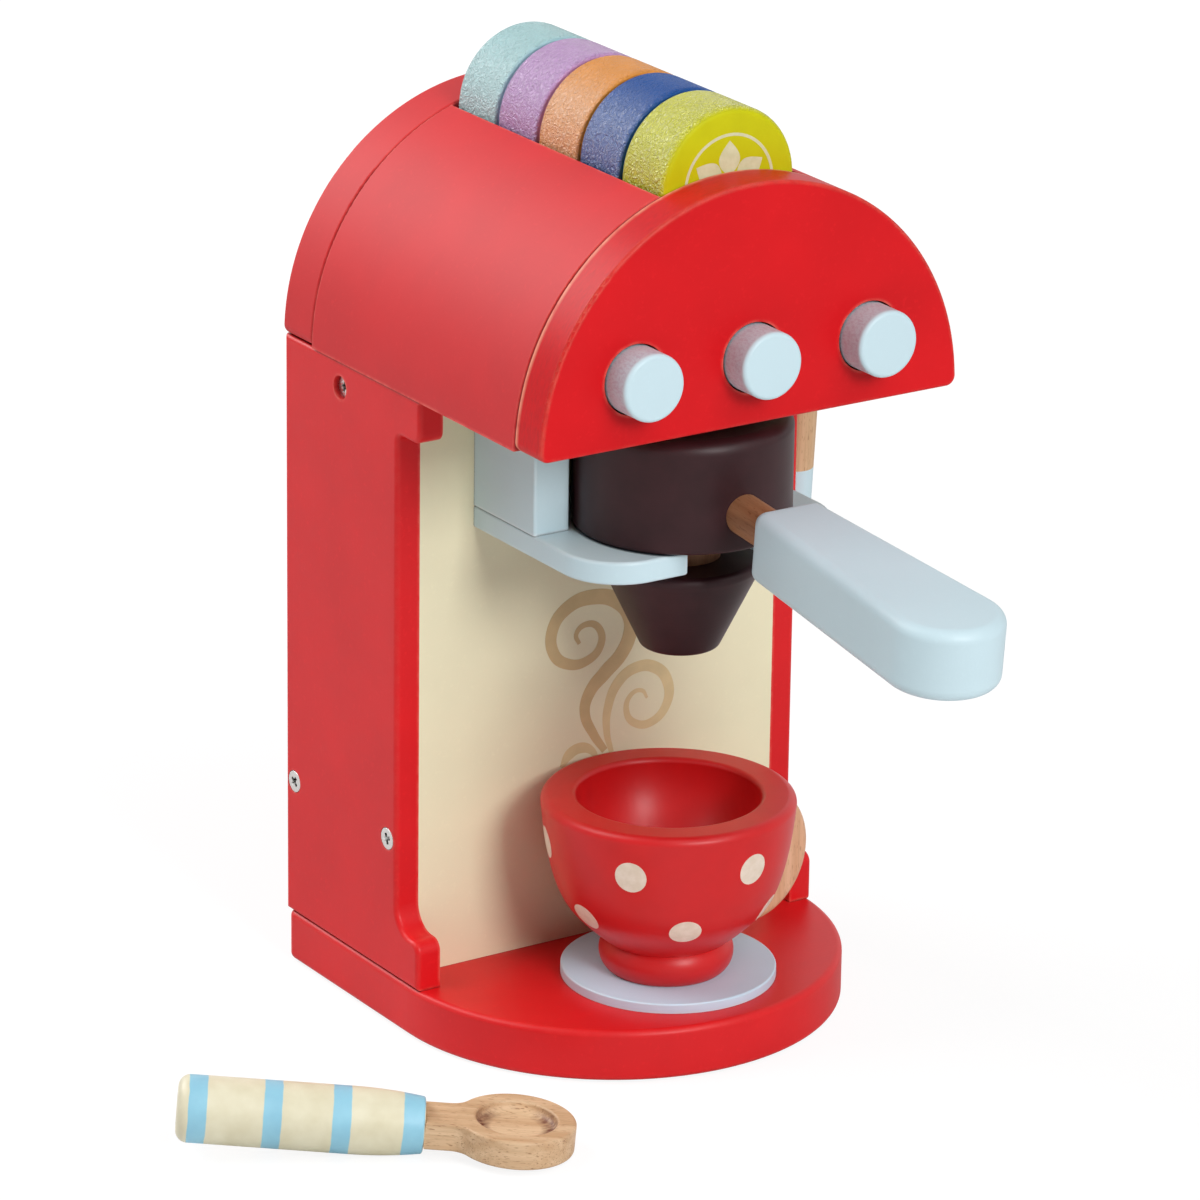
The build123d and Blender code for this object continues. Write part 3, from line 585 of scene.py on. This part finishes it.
def inside(tree, distance, low, high, soft=band_edge):
    """1 between two distances, with a soft step of that many mm at each."""
    rise = spread(tree, distance, low - soft, low + soft)
    fall = spread(tree, distance, high - soft, high + soft, 1.0, 0.0)
    return product(tree, rise, fall)


print("bands have edges", 2 * band_edge, "mm wide")

# %% [markdown]
# ## Wand
#
# The wand is a bare rod that hangs from its screw, and its lower end was dipped in pale blue
# paint. Dipping leaves one straight edge, so a single step of the distance is enough.

# %% Wand
wand_lean = radians(4)
wand_line = (0, sin(wand_lean), -cos(wand_lean))
wand_y, wand_z = 16.8, 188
wand_pivot = (78.3 * mm, wand_y * mm, wand_z * mm)
wand_dip = 40.0
wand_wood = beech("wand_wood", srgb(214, 178, 140), srgb(196, 156, 116), grain=wand_line)
tree, base, wood_tone = base_colour(wand_wood)
below_screw = in_mm(tree, wand_pivot, turn_to(wand_line))[0]
dipped = spread(tree, below_screw, wand_dip - 0.1, wand_dip + 0.1)
tree.links.new(blend(tree, dipped, wood_tone, pale_blue), base)
dress("wand", wand_wood)
print("wand dipped from", wand_dip, "mm below its screw")

# %% [markdown]
# ## Spoon handle
#
# The handle was painted cream and given four sky-blue bands as it turned on the lathe. A little
# noise is added to the distance, so that the bands' edges wobble as a brush's do.

# %% Spoon handle
spoon_heading = radians(-30.4)
spoon_pitch = radians(4.889)
spoon_line = Vector((cos(spoon_heading) * cos(spoon_pitch), sin(spoon_heading) * cos(spoon_pitch),
                     -sin(spoon_pitch)))
spoon_turn = turn_to(spoon_line)
spoon_start = (-170.3 * mm, -36.7 * mm, 14.03 * mm)
spoon_bands = [(3.1, 8.3), (24.5, 29.7), (44.2, 49.4), (64.4, 70.5)]

striped, tree, shader = new_finish("striped_spoon_paint", 0.4, 0.45)
wobble = spread(tree, speckle(tree, 5), 0.3, 0.7, -0.12, 0.12)
distance = sums(tree, "ADD", in_mm(tree, spoon_start, spoon_turn)[0], wobble)
band = 0.0
for low, high in spoon_bands:
    band = sums(tree, "MAXIMUM", inside(tree, distance, low, high), band)
blotches = spread(tree, speckle(tree, 8, detail=3.0), 0.3, 0.7)
cream_tone = blend(tree, blotches, srgb(219, 211, 180), srgb(231, 225, 198))
sky_tone = blend(tree, blotches, srgb(140, 196, 219), srgb(152, 208, 228))
tree.links.new(blend(tree, band, cream_tone, sky_tone), shader.inputs["Base Color"])
streaks = cells(tree, (24 * mm, 0.8 * mm, 0.8 * mm), spoon_start, spoon_turn)
tree.links.new(bump(tree, noise(tree, streaks, detail=3.0), 0.02 * mm), shader.inputs["Normal"])
dress("spoon_handle", striped)
print("spoon handle has", len(spoon_bands), "bands")

# %% [markdown]
# ## Spoon blade
#
# The blade is bare beech with a round dish cut into it. The dish's wall is dark where it cuts
# across the fibres and light where it runs along them: end grain soaks up more stain, and the
# dark is also painted shade of the dish's hollow. The direction from the dish's middle tells the
# two apart.

# %% Spoon blade
dish_radius = 11.7
dish_wall = 3.4
blade_top = 4.2
dish_centre = Vector(spoon_start) + spoon_line * 97 * mm
stain_and_shade_brown = srgb(110, 62, 46)
spoon_wood = beech("spoon_beech", srgb(222, 190, 153), srgb(196, 157, 118), grain=spoon_line,
                   start=spoon_start, fleck=0.8)
tree, base, wood_tone = base_colour(spoon_wood)
from_dish = in_mm(tree, dish_centre, spoon_turn)
outwards = reach(tree, from_dish, 0, 1)
# Dark on the dish's wall: stain and painted shade.
at_wall = inside(tree, outwards, dish_radius - dish_wall, dish_radius + 0.2, soft=1.2)
facing_fibres = sums(tree, "DIVIDE", sums(tree, "ABSOLUTE", from_dish[0], 0.0), outwards)
end_grain = spread(tree, facing_fibres, 0.45, 0.9)
below_top = spread(tree, from_dish[2], blade_top, blade_top - 0.6)
smudges = noise(tree, cells(tree, (3 * mm, 1.2 * mm, 1.2 * mm)), detail=4.0)
stained_and_shaded = product(tree, below_top, spread(tree, smudges, 0.35, 0.6, 0.4, 1.0))
stained_and_shaded = product(tree, product(tree, at_wall, end_grain), stained_and_shaded)
tree.links.new(blend(tree, stained_and_shaded, wood_tone, stain_and_shade_brown), base)
dress("spoon_blade", spoon_wood)
print("the dish is", 2 * dish_radius, "mm wide")

# %% [markdown]
# ## Metal
#
# Screws and washer are zinc-plated steel, and the springs are bright wire. Both are metals with
# a roughness that varies a little, so that the highlights break up. Painted shade darkens the
# recesses, such as the cross in a screw's head.

# %% Steel finishes
def steel(name, colour, roughness):
    """Metal with a varied roughness and painted shade in its recesses."""
    material, tree, shader = new_finish(name, roughness)
    shader.inputs["Metallic"].default_value = 1.0
    # Darker recesses: painted shade.
    recess_shade = blend(tree, crevice_mask(tree, 1.4 * mm), colour, (0.02, 0.02, 0.02, 1.0))
    tree.links.new(recess_shade, shader.inputs["Base Color"])
    haze = speckle(tree, 0.9, detail=3.0)
    tree.links.new(spread(tree, haze, 0.3, 0.7, roughness * 0.7, roughness * 1.4),
                   shader.inputs["Roughness"])
    return material


zinc = steel("zinc_plate", (0.72, 0.72, 0.70, 1.0), 0.28)
wire = steel("spring_wire", (0.5, 0.5, 0.52, 1.0), 0.3)
dress("wand_washer", zinc)
print("zinc and spring wire ready")

# %% [markdown]
# ## Copies of one shape
#
# Screws, dots and rosettes repeat one shape in many places, so they are made by one Geometry
# Nodes tree. It gets a mesh of loose points, each with an attribute that says how its copy is
# turned. It puts the shape on every point, realizes the copies and sets their material. The
# evaluated result becomes a plain mesh, and the modifier goes away.

# %% Tree that places copies
def new_tree(name, inputs, result):
    """Geometry Nodes tree; returns it, its inputs' identifiers and its group input's outputs."""
    tree = bpy.data.node_groups.new(name, "GeometryNodeTree")
    named = {}
    for label, kind in inputs:
        named[label] = tree.interface.new_socket(
            label, in_out="INPUT", socket_type="NodeSocket" + kind).identifier
    tree.interface.new_socket(result, in_out="OUTPUT", socket_type="NodeSocketGeometry")
    print("tree", name, "takes", ", ".join(named))
    return tree, named, add(tree, "NodeGroupInput").outputs


def finish_tree(tree, result, geometry, material):
    """Set the material of a geometry and hand it out."""
    clad = add(tree, "GeometryNodeSetMaterial", {"Geometry": geometry, "Material": material})
    add(tree, "NodeGroupOutput", {result: clad.outputs[0]})


copies, copies_inputs, given = new_tree(
    "place_copies", (("Points", "Geometry"), ("Shape", "Object"), ("Finish", "Material")),
    "Copies")
facing = add(copies, "GeometryNodeInputNamedAttribute", {"Name": "facing"},
             data_type="FLOAT_VECTOR").outputs["Attribute"]
turned = add(copies, "FunctionNodeEulerToRotation", {0: facing}).outputs[0]
shape = add(copies, "GeometryNodeObjectInfo", {"Object": given["Shape"]}).outputs["Geometry"]
placed = add(copies, "GeometryNodeInstanceOnPoints", {
    "Points": given["Points"], "Instance": shape, "Rotation": turned}).outputs[0]
solid = add(copies, "GeometryNodeRealizeInstances", {0: placed}).outputs[0]
finish_tree(copies, "Copies", solid, given["Finish"])


# %% [markdown]
# ## Making and settling shapes
#
# A piece that is added starts as a bare mesh or curve with modifiers on it. When they have done
# their work, the result is kept as a plain mesh, which can move with a body of the frame like
# any other piece.

# %% Make and settle shapes
def new_mesh(name, corners, faces):
    """Mesh from its corners and faces."""
    mesh = bpy.data.meshes.new(name)
    mesh.from_pydata(corners, [], faces)
    return mesh


def circle(radius, around=64):
    """Corners of a flat circle, anticlockwise."""
    return [(radius * cos(tau * k / around), radius * sin(tau * k / around))
            for k in range(around)]


def show(name, data):
    """Object at the origin, in the scene."""
    item = bpy.data.objects.new(name, data)
    scene.collection.objects.link(item)
    return item


def settle(piece):
    """Turn a piece with its modifiers into a plain mesh."""
    graph = bpy.context.evaluated_depsgraph_get()
    mesh = bpy.data.meshes.new_from_object(piece.evaluated_get(graph), depsgraph=graph)
    mesh.name = piece.name
    piece.modifiers.clear()
    if piece.type == "MESH":
        piece.data = mesh
        return piece
    name = piece.name
    bpy.data.objects.remove(piece)
    return show(name, mesh)


def grow(piece, tree, inputs, values):
    """Give a piece a Geometry Nodes modifier, its inputs set by their identifiers."""
    modifier = piece.modifiers.new(tree.name, "NODES")
    modifier.node_group = tree
    for key, value in values.items():
        modifier[inputs[key]] = value


def place_copies(name, shape, spots, finish):
    """Copies of a shape; each spot is a place, the way its Z axis faces and a turn about it."""
    points = new_mesh(name, [spot[0] for spot in spots], [])
    turns = points.attributes.new("facing", "FLOAT_VECTOR", "POINT")
    for item, (place, outward, roll) in zip(turns.data, spots):
        turn = Vector(outward).to_track_quat("Z", "Y") @ Quaternion((0, 0, 1), roll)
        item.vector = turn.to_euler()
    piece = show(name, points)
    grow(piece, copies, copies_inputs, {"Shape": shape, "Finish": finish})
    return piece


print("shapes can be made and settled")


# %% Lathe
def lathe(name, profile, around=28):
    """Closed mesh turned about Z, from points (radius, height) that start and end on the axis."""
    inner = profile[1:-1]
    corners = [(0, 0, profile[0][1])]
    for radius, height in inner:
        corners += [(x, y, height) for x, y in circle(radius, around)]
    corners.append((0, 0, profile[-1][1]))
    last = len(corners) - 1
    faces = []
    for k in range(around):
        after = (k + 1) % around
        faces.append((0, 1 + k, 1 + after))
        for ring in range(len(inner) - 1):
            low, high = 1 + ring * around, 1 + (ring + 1) * around
            faces.append((low + k, high + k, high + after, low + after))
        faces.append((last, last - around + after, last - around + k))
    return new_mesh(name, corners, faces)


print("lathe ready")

# %% [markdown]
# ## Cross-head screws
#
# The screws are countersunk, with a cross drive. One screw is turned on a lathe from its
# profile: a flat head with a broken edge, a cone under it, a shank with a thread of rings and a
# point. A Boolean takes a tapered cross out of the head.

# %% One screw
shank_radius, thread_radius, thread_pitch = 1.28, 1.58, 1.5
# Half length and half width of the cross's arms and the height, at the top and at the foot.
cross_levels = ((1.95, 0.62, 0.3), (0.85, 0.42, -1.9))


def screw_profile(length):
    """Radius and height of the outline's corners, from the middle of the head to the point."""
    head = [(0, 0), (2.9, 0), (3.3, -0.06), (3.4, -0.2), (thread_radius, -2.6)]
    thread = []
    depth = 3.2
    while depth < length - 4.5:
        thread += [(shank_radius, -depth), (thread_radius, -depth - 0.35),
                   (shank_radius, -depth - 0.7)]
        depth += thread_pitch
    point = [(shank_radius, 3.0 - length), (0, -length)]
    return [(radius * mm, height * mm) for radius, height in head + thread + point]


def cross_cutter():
    """Cross-shaped plug, narrower and shorter towards its foot."""
    corners = []
    for half_length, half_width, height in cross_levels:
        arm = (half_length, -half_width), (half_length, half_width), (half_width, half_width)
        for turn in range(4):
            quarter = Quaternion((0, 0, 1), turn * pi / 2)
            corners += [quarter @ (Vector((x, y, height)) * mm) for x, y in arm]
    count = len(corners) // 2
    ring = range(count)
    faces = [tuple(ring), tuple(k + count for k in reversed(ring))]
    faces += [(k, k + count, (k + 1) % count + count, (k + 1) % count) for k in ring]
    return new_mesh("cross_cutter", corners, faces)


cutter = show("cross_cutter", cross_cutter())


def screw_shape(length):
    """One screw, its head at the origin and its point below."""
    screw = show("screw_" + str(length), lathe("screw_" + str(length), screw_profile(length)))
    recess = screw.modifiers.new("recess", "BOOLEAN")
    recess.object = cutter
    recess.operation = "DIFFERENCE"
    return settle(screw)


print("screws have threads", 2 * thread_radius, "mm wide")

# %% [markdown]
# ## Screws in their places
#
# Screws go through the side boards, up through the base and down through the head's floor, and
# one carries the wand. Each set stands for one plain piece of the frame, so it becomes one piece
# too. No two screws of a set are driven home with the cross at the same angle.

# %% Screws in their places
side_x, rail_x = 71.0, 69.4
front_y, middle_y, rear_y = 12.0, 39.0, 66.0
low_z, rail_z, head_z = 59.0, 192.0, 206
base_x, head_x, wand_x = 45, 30, 83.5


def side_spots(side):
    """Places of a side board's three screws, on the left for -1 and on the right for 1."""
    spots = [(side_x, front_y, low_z), (side_x, rear_y, low_z), (rail_x, middle_y, rail_z)]
    return [(side * x, y, z) for x, y, z in spots]


# For each set: the length of its screws, their places in mm and the way their heads face.
screw_sets = {
    "side_screws_left": (24, side_spots(-1), (-1, 0, 0)),
    "side_screws_right": (24, side_spots(1), (1, 0, 0)),
    "base_screws": (32, [(x, y, 0) for x in (-base_x, base_x) for y in (front_y, rear_y)],
                    (0, 0, -1)),
    "head_screws": (20, [(x, middle_y, head_z) for x in (-head_x, head_x)], (0, 0, 1)),
    "wand_screw": (20, [(wand_x, wand_y, wand_z)], (1, 0, 0)),
}
rolls = (0.35, 0.9, 1.3, 0.1)
for name, (length, places, outward) in screw_sets.items():
    template = screw_shape(length)
    spots = [(Vector(place) * mm, outward, roll) for place, roll in zip(places, rolls)]
    screws = settle(place_copies(name + "_cross_head", template, spots, zinc))
    bpy.data.objects.remove(template)
    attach(screws, "machine")
    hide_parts(name)
    print(screws.name, len(screws.data.polygons), "faces")
bpy.data.objects.remove(cutter)

# %% [markdown]
# ## Button springs
#
# Behind each button sits a compression spring whose end turns lie flat. It is a curve with a
# round section, wound to fit the plain spring of the frame. A pressed button takes up half of
# the spring's length.

# %% Wind the springs
wire_width = 0.8 * mm
spring_turns = 5
flat_turn = 0.9 * mm
steps_around = 10


def wound(turn, length):
    """How far along the spring a turn has come: slow in the first and last turn."""
    free_turn = (length - 2 * flat_turn) / (spring_turns - 2)
    return (flat_turn * min(turn, 1.0) + free_turn * min(max(turn - 1.0, 0.0), spring_turns - 2)
            + flat_turn * max(turn - spring_turns + 1.0, 0.0))


for side in ("left", "middle", "right"):
    low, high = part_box("button_spring_" + side)
    middle = (low + high) / 2
    coil_radius = (high.x - low.x - wire_width) / 2
    curve = bpy.data.curves.new("coil_spring_" + side, "CURVE")
    curve.dimensions = "3D"
    curve.bevel_depth = wire_width / 2
    curve.bevel_resolution = 2
    curve.resolution_u = 4
    curve.use_fill_caps = True
    spline = curve.splines.new("BEZIER")
    spline.bezier_points.add(spring_turns * steps_around)
    for k, item in enumerate(spline.bezier_points):
        turn = k / steps_around
        item.co = (middle.x + coil_radius * cos(tau * turn),
                   low.y + wire_width / 2 + wound(turn, high.y - low.y - wire_width),
                   middle.z + coil_radius * sin(tau * turn))
        item.handle_left_type = item.handle_right_type = "AUTO"
    spring = settle(show("coil_spring_" + side, curve))
    spring.data.materials.append(wire)
    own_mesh(spring)
    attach(spring, "machine")
    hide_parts("button_spring_" + side)
    print(spring.name, len(spring.data.polygons), "faces")

# %% [markdown]
# ## Dots on the cup
#
# The cup is printed with round cream dots, in two rows round its outside. A picture wrapped
# round the cup would do, but solid dots stay sharp from near by. A ray towards the cup's axis
# finds where each dot goes and which way the paint faces there.

# %% Dot shape and places
def dot_mesh(radius, rings=5, around=32):
    """Flat disc of rings that faces +Z."""
    corners = [(0, 0, 0)]
    for ring in range(1, rings + 1):
        corners += [(x, y, 0) for x, y in circle(radius * ring / rings, around)]
    faces = [(0, 1 + k, 1 + (k + 1) % around) for k in range(around)]
    for ring in range(rings - 1):
        low, high = 1 + ring * around, 1 + (ring + 1) * around
        for k in range(around):
            after = (k + 1) % around
            faces.append((low + k, high + k, high + after, low + after))
    return new_mesh("dot", corners, faces)


def on_cup(turn, height):
    """Place on the cup's outside and its normal, found by a ray towards the axis."""
    outward = Vector((cos(turn), sin(turn), 0))
    start = Vector((cup_axis.x, cup_axis.y, height)) + outward * 80 * mm
    _, place, normal, _ = node["cup"].ray_cast(start, -outward)
    return place, normal


# For each row: its height over the cup's foot and the directions of its dots in degrees.
dot_rows = [(42 * mm, (159.1, -140.9, -80.9, -20.9, 39.1, 99.1)),
            (23 * mm, (-173.6, -113.6, -53.6, 66.4, 126.4))]
dot_spots = []
for height, turns in dot_rows:
    for turn in turns:
        place, normal = on_cup(radians(turn), cup_low.z + height)
        dot_spots.append((place + normal * mm, normal, 0.0))
print(len(dot_spots), "dots")

# %% [markdown]
# ## Laying the dots on
#
# Each dot starts as a flat disc that floats in front of its place. Shrinkwrap lays it on the
# cup, a little proud of the paint, and Solidify gives it the thickness of a coat of paint. The
# disc is made of rings, because it can only bend where it has corners.

# %% Lay the dots on
dot_radius, coat_thickness, coat_proud = 5.0 * mm, 0.16 * mm, 0.06 * mm
dot_cream = printed_paint("dot_cream_paint", srgb(228, 210, 190), srgb(238, 222, 206), 0.42, 0.45,
                          patch=2.2, relief=0.008)
dot_shape = show("dot", dot_mesh(dot_radius))
cup_dots = place_copies("cup_dots", dot_shape, dot_spots, dot_cream)
laid = cup_dots.modifiers.new("laid", "SHRINKWRAP")
laid.target = node["cup"]
laid.wrap_mode = "ABOVE_SURFACE"
laid.offset = coat_proud
coat = cup_dots.modifiers.new("coat", "SOLIDIFY")
coat.thickness = coat_thickness
coat.offset = -1.0
cup_dots = settle(cup_dots)
bpy.data.objects.remove(dot_shape)
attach(cup_dots, "cup")
print("cup_dots", len(cup_dots.data.polygons), "faces")

# %% [markdown]
# ## Rosettes on the capsules
#
# Each capsule has a cream print on its front face: here a ring round a flower of six petals, a
# common ornament. The print is a set of thin closed plates. A plate is an outline with a front
# and a back, so ring, petals and heart all come from one function.

# %% Rosette shape
def plate(outline, inner=None, thickness=0.08 * mm):
    """Corners and faces of a thin plate that faces +Z, whole or with an inner outline."""
    count = len(outline)
    inner = inner or [(sum(x for x, _ in outline) / count, sum(y for _, y in outline) / count)]
    corners = [(x, y, z) for z in (thickness / 2, -thickness / 2) for x, y in outline + inner]
    under = count + len(inner)
    faces = []
    for k in range(count):
        after = (k + 1) % count
        core, core_after = (count + k, count + after) if len(inner) > 1 else (count, count)
        front = (k, after, core_after, core) if len(inner) > 1 else (k, after, core)
        faces += [front, tuple(corner + under for corner in reversed(front)),
                  (after, k, k + under, after + under)]
        if len(inner) > 1:
            faces.append((core, core_after, core_after + under, core + under))
    return corners, faces


def petal(turn, root=2.8 * mm, length=10.2 * mm, half_width=3.6 * mm, steps=14):
    """Pointed leaf that starts at its root, in a direction from the middle."""
    there = [(root + length * k / steps, -half_width * sin(pi * (k / steps) ** 0.85))
             for k in range(steps + 1)]
    back = [(x, -y) for x, y in reversed(there[1:-1])]
    return [(x * cos(turn) - y * sin(turn), x * sin(turn) + y * cos(turn)) for x, y in there + back]


ring_outer, ring_inner, heart_radius, petal_count = 15.2 * mm, 14.3 * mm, 1.8 * mm, 6
plates = [plate(circle(ring_outer), circle(ring_inner)), plate(circle(heart_radius, 24))]
plates += [plate(petal(tau * k / petal_count + pi / 6)) for k in range(petal_count)]
corners, faces = [], []
for plate_corners, plate_faces in plates:
    faces += [tuple(corner + len(corners) for corner in face) for face in plate_faces]
    corners += plate_corners
rosette_shape = show("rosette", new_mesh("rosette", corners, faces))
print("rosette of", len(plates), "plates")

# %% [markdown]
# ## Printing the capsules
#
# One rosette serves all five capsules. It lies half sunk in the front face, and each copy rides
# with its own capsule, so that it leaves the slot with it.

# %% Print the capsules
print_cream = printed_paint("print_cream", srgb(205, 206, 164), srgb(215, 216, 178), 0.5, 0.3,
                            patch=1.8, skin=0.4)
for colour_name in capsule_paints:
    low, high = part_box("capsule_" + colour_name)
    middle = (low + high) / 2
    spot = (Vector((middle.x, low.y, middle.z)), (0, -1, 0), 0.0)
    rosette = settle(place_copies("rosette_" + colour_name, rosette_shape, [spot], print_cream))
    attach(rosette, "capsule_" + colour_name)
    print(rosette.name, len(rosette.data.polygons), "faces")
bpy.data.objects.remove(rosette_shape)

# %% [markdown]
# ## Steam scrolls on the splash board
#
# Curls of steam are printed above the cup, in two browns. Each stroke is a curve whose points
# carry a radius, and a Geometry Nodes tree resamples the curve and runs a flat rectangle along
# it, scaled by that radius. So a stroke can be redrawn by moving its points.

# %% Brush tree
brush, brush_inputs, given = new_tree(
    "brush_stroke", (("Line", "Geometry"), ("Width", "Float"), ("Thickness", "Float"),
                     ("Step", "Float"), ("Finish", "Material")), "Stroke")
line = add(brush, "GeometryNodeResampleCurve", {"Curve": given["Line"], "Length": given["Step"]},
           mode="LENGTH").outputs[0]
tip = add(brush, "GeometryNodeCurvePrimitiveQuadrilateral", {
    "Width": given["Width"], "Height": given["Thickness"]}).outputs[0]
run = add(brush, "GeometryNodeCurveToMesh", {
    "Curve": line, "Profile Curve": tip, "Fill Caps": True,
    "Scale": add(brush, "GeometryNodeInputRadius").outputs[0]}).outputs[0]
finish_tree(brush, "Stroke", run, given["Finish"])


# %% [markdown]
# ## Drawing the scrolls
#
# A brush starts half wide, fills out at once and lifts off slowly, so the radius grows fast and
# then falls towards the end of the curl. The strokes are drawn lying flat, then stood up on the
# board. The darker ink was printed last, so it lies a hair higher where the two cross.

# %% Scrolls
def ink(name, colour):
    """Printing ink, thinner in places."""
    return printed_paint(name, colour, shade(colour, 1.12), 0.5, 0.35, patch=6, low=0.3, detail=4.0)


stroke_thickness, stroke_step = 0.12 * mm, 0.7 * mm


def stroke_radius(share):
    """Half wide at the root, soon full, then thinner and thinner towards the curl's end."""
    return min(0.45 + 2.6 * share, 1.0) * (1.0 - 0.75 * max(0.0, share - 0.45) / 0.55)


def scroll(name, strokes, width, finish, proud):
    """Strokes drawn flat, then stood up on the front of the splash board."""
    curve = bpy.data.curves.new(name, "CURVE")
    curve.dimensions = "3D"
    for points in strokes:
        spline = curve.splines.new("BEZIER")
        spline.bezier_points.add(len(points) - 1)
        for k, (item, (x, z)) in enumerate(zip(spline.bezier_points, points)):
            item.co = (x * mm, z * mm, 0)
            item.handle_left_type = item.handle_right_type = "AUTO"
            item.radius = stroke_radius(k / (len(points) - 1))
    piece = show(name, curve)
    grow(piece, brush, brush_inputs, {"Width": width * mm, "Thickness": stroke_thickness,
                                      "Step": stroke_step, "Finish": finish})
    piece = settle(piece)
    piece.data.shade_flat()
    on_board = Matrix.Translation((0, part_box("splash_board")[0][1] - proud, 0))
    piece.data.transform(on_board @ Matrix.Rotation(pi / 2, 4, "X"))
    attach(piece, "machine")
    print(name, len(piece.data.polygons), "faces")


# Points of each stroke in mm, to the right of the board's middle and above the ground.
dark_strokes = [
    [(2.6, 74), (-1.5, 80), (-4.8, 88), (-3, 94), (2.2, 99), (8, 104), (10.9, 109.5), (11, 115),
     (6.5, 121), (-2, 124), (-11, 122.5), (-16.5, 116.5), (-16, 108.5), (-11, 104.3),
     (-4.5, 104), (0.5, 108), (0, 113.5), (-4.5, 115.8), (-8.2, 113.2), (-7, 110)]]
light_strokes = [
    [(5, 73), (3.2, 80), (3.6, 88), (7, 95), (13, 98.5), (20, 97.5), (25, 91.5), (24.6, 84.5),
     (19.5, 80), (13.5, 80.6), (10.2, 85), (11.6, 90), (15.6, 90.8), (17.6, 88)],
    [(-12.8, 71.5), (-10, 75.3), (-5.5, 76.5), (-1.5, 74.2), (0, 71)]]
scroll("steam_scroll_light", light_strokes, 3.7, ink("ink_light", srgb(216, 197, 150)), 0.0)
scroll("steam_scroll_dark", dark_strokes, 5.0, ink("ink_dark", srgb(202, 178, 132)), 0.03 * mm)

# %% [markdown]
# ## Studio
#
# The floor and the background are white to the camera, as in a catalogue. Light Path does that:
# what the camera sees directly is white, while what lights the toy is a dim sky and four soft
# boxes: two in front, one on the left and one behind. The sky is bright again to glossy rays, so
# that the paint has something pale to mirror. Away from the toy the floor turns wholly white, so
# that it runs into the background without a horizon.

# %% Floor, world and lamps
floor_reach = 3
glow_starts, glow_full, near_glow = 0.5, 1.8, 0.78
dim_sky = 0.12

floor_corners = [(x * floor_reach, y * floor_reach, 0)
                 for x, y in ((-1, -1), (1, -1), (1, 1), (-1, 1))]
floor = show("floor", new_mesh("floor", floor_corners, [(0, 1, 2, 3)]))
floor.data.transform(Matrix.Translation((0, 0, cad_box[0][2])))

floor_finish, tree, shader = new_finish("floor_paper", 0.9, 0.0)
shader.inputs["Base Color"].default_value = (0.80, 0.80, 0.80, 1.0)
glow = add(tree, "ShaderNodeEmission", {"Color": (1, 1, 1, 1), "Strength": 1.12}).outputs[0]
seen = add(tree, "ShaderNodeLightPath").outputs["Is Camera Ray"]
away = add(tree, "ShaderNodeVectorMath", {0: cells(tree, (1, 1, 1))},
           operation="LENGTH").outputs["Value"]
share = product(tree, seen, spread(tree, away, glow_starts, glow_full, near_glow, 1.0))
mixed = add(tree, "ShaderNodeMixShader", {0: share, 1: shader.outputs[0], 2: glow}).outputs[0]
tree.links.new(mixed, tree.nodes["Material Output"].inputs["Surface"])
floor.data.materials.append(floor_finish)

world = bpy.data.worlds.new("studio")
scene.world = world
world.use_nodes = True
tree = world.node_tree
path = add(tree, "ShaderNodeLightPath").outputs
seen = sums(tree, "MAXIMUM", path["Is Camera Ray"], path["Is Glossy Ray"])
seen = sums(tree, "MAXIMUM", seen, path["Is Transmission Ray"])
sky = tree.nodes["Background"].inputs
tree.links.new(spread(tree, seen, 0.0, 1.0, dim_sky, 1.0), sky["Strength"])
sky["Color"].default_value = (1, 1, 1, 1)


def lamp(name, place, power, width):
    """Square soft box that looks at the middle of the machine."""
    light = show(name, bpy.data.lights.new(name, "AREA"))
    light.data.energy = power
    light.data.size = width
    light.location = place
    light.rotation_euler = (light.location - look_target).to_track_quat("Z", "Y").to_euler()


lamp("front_box", (0.0, -2.08, 1.1), 25.5, 0.7)
lamp("high_box", (0.26, -1.46, 1.89), 16.0, 1.3)
lamp("left_box", (-1.34, 0.62, 1.89), 20.5, 1.2)
lamp("back_box", (-0.78, 1.83, 1.28), 24.0, 1.0)
scene.view_settings.view_transform = "Standard"
print("studio ready")
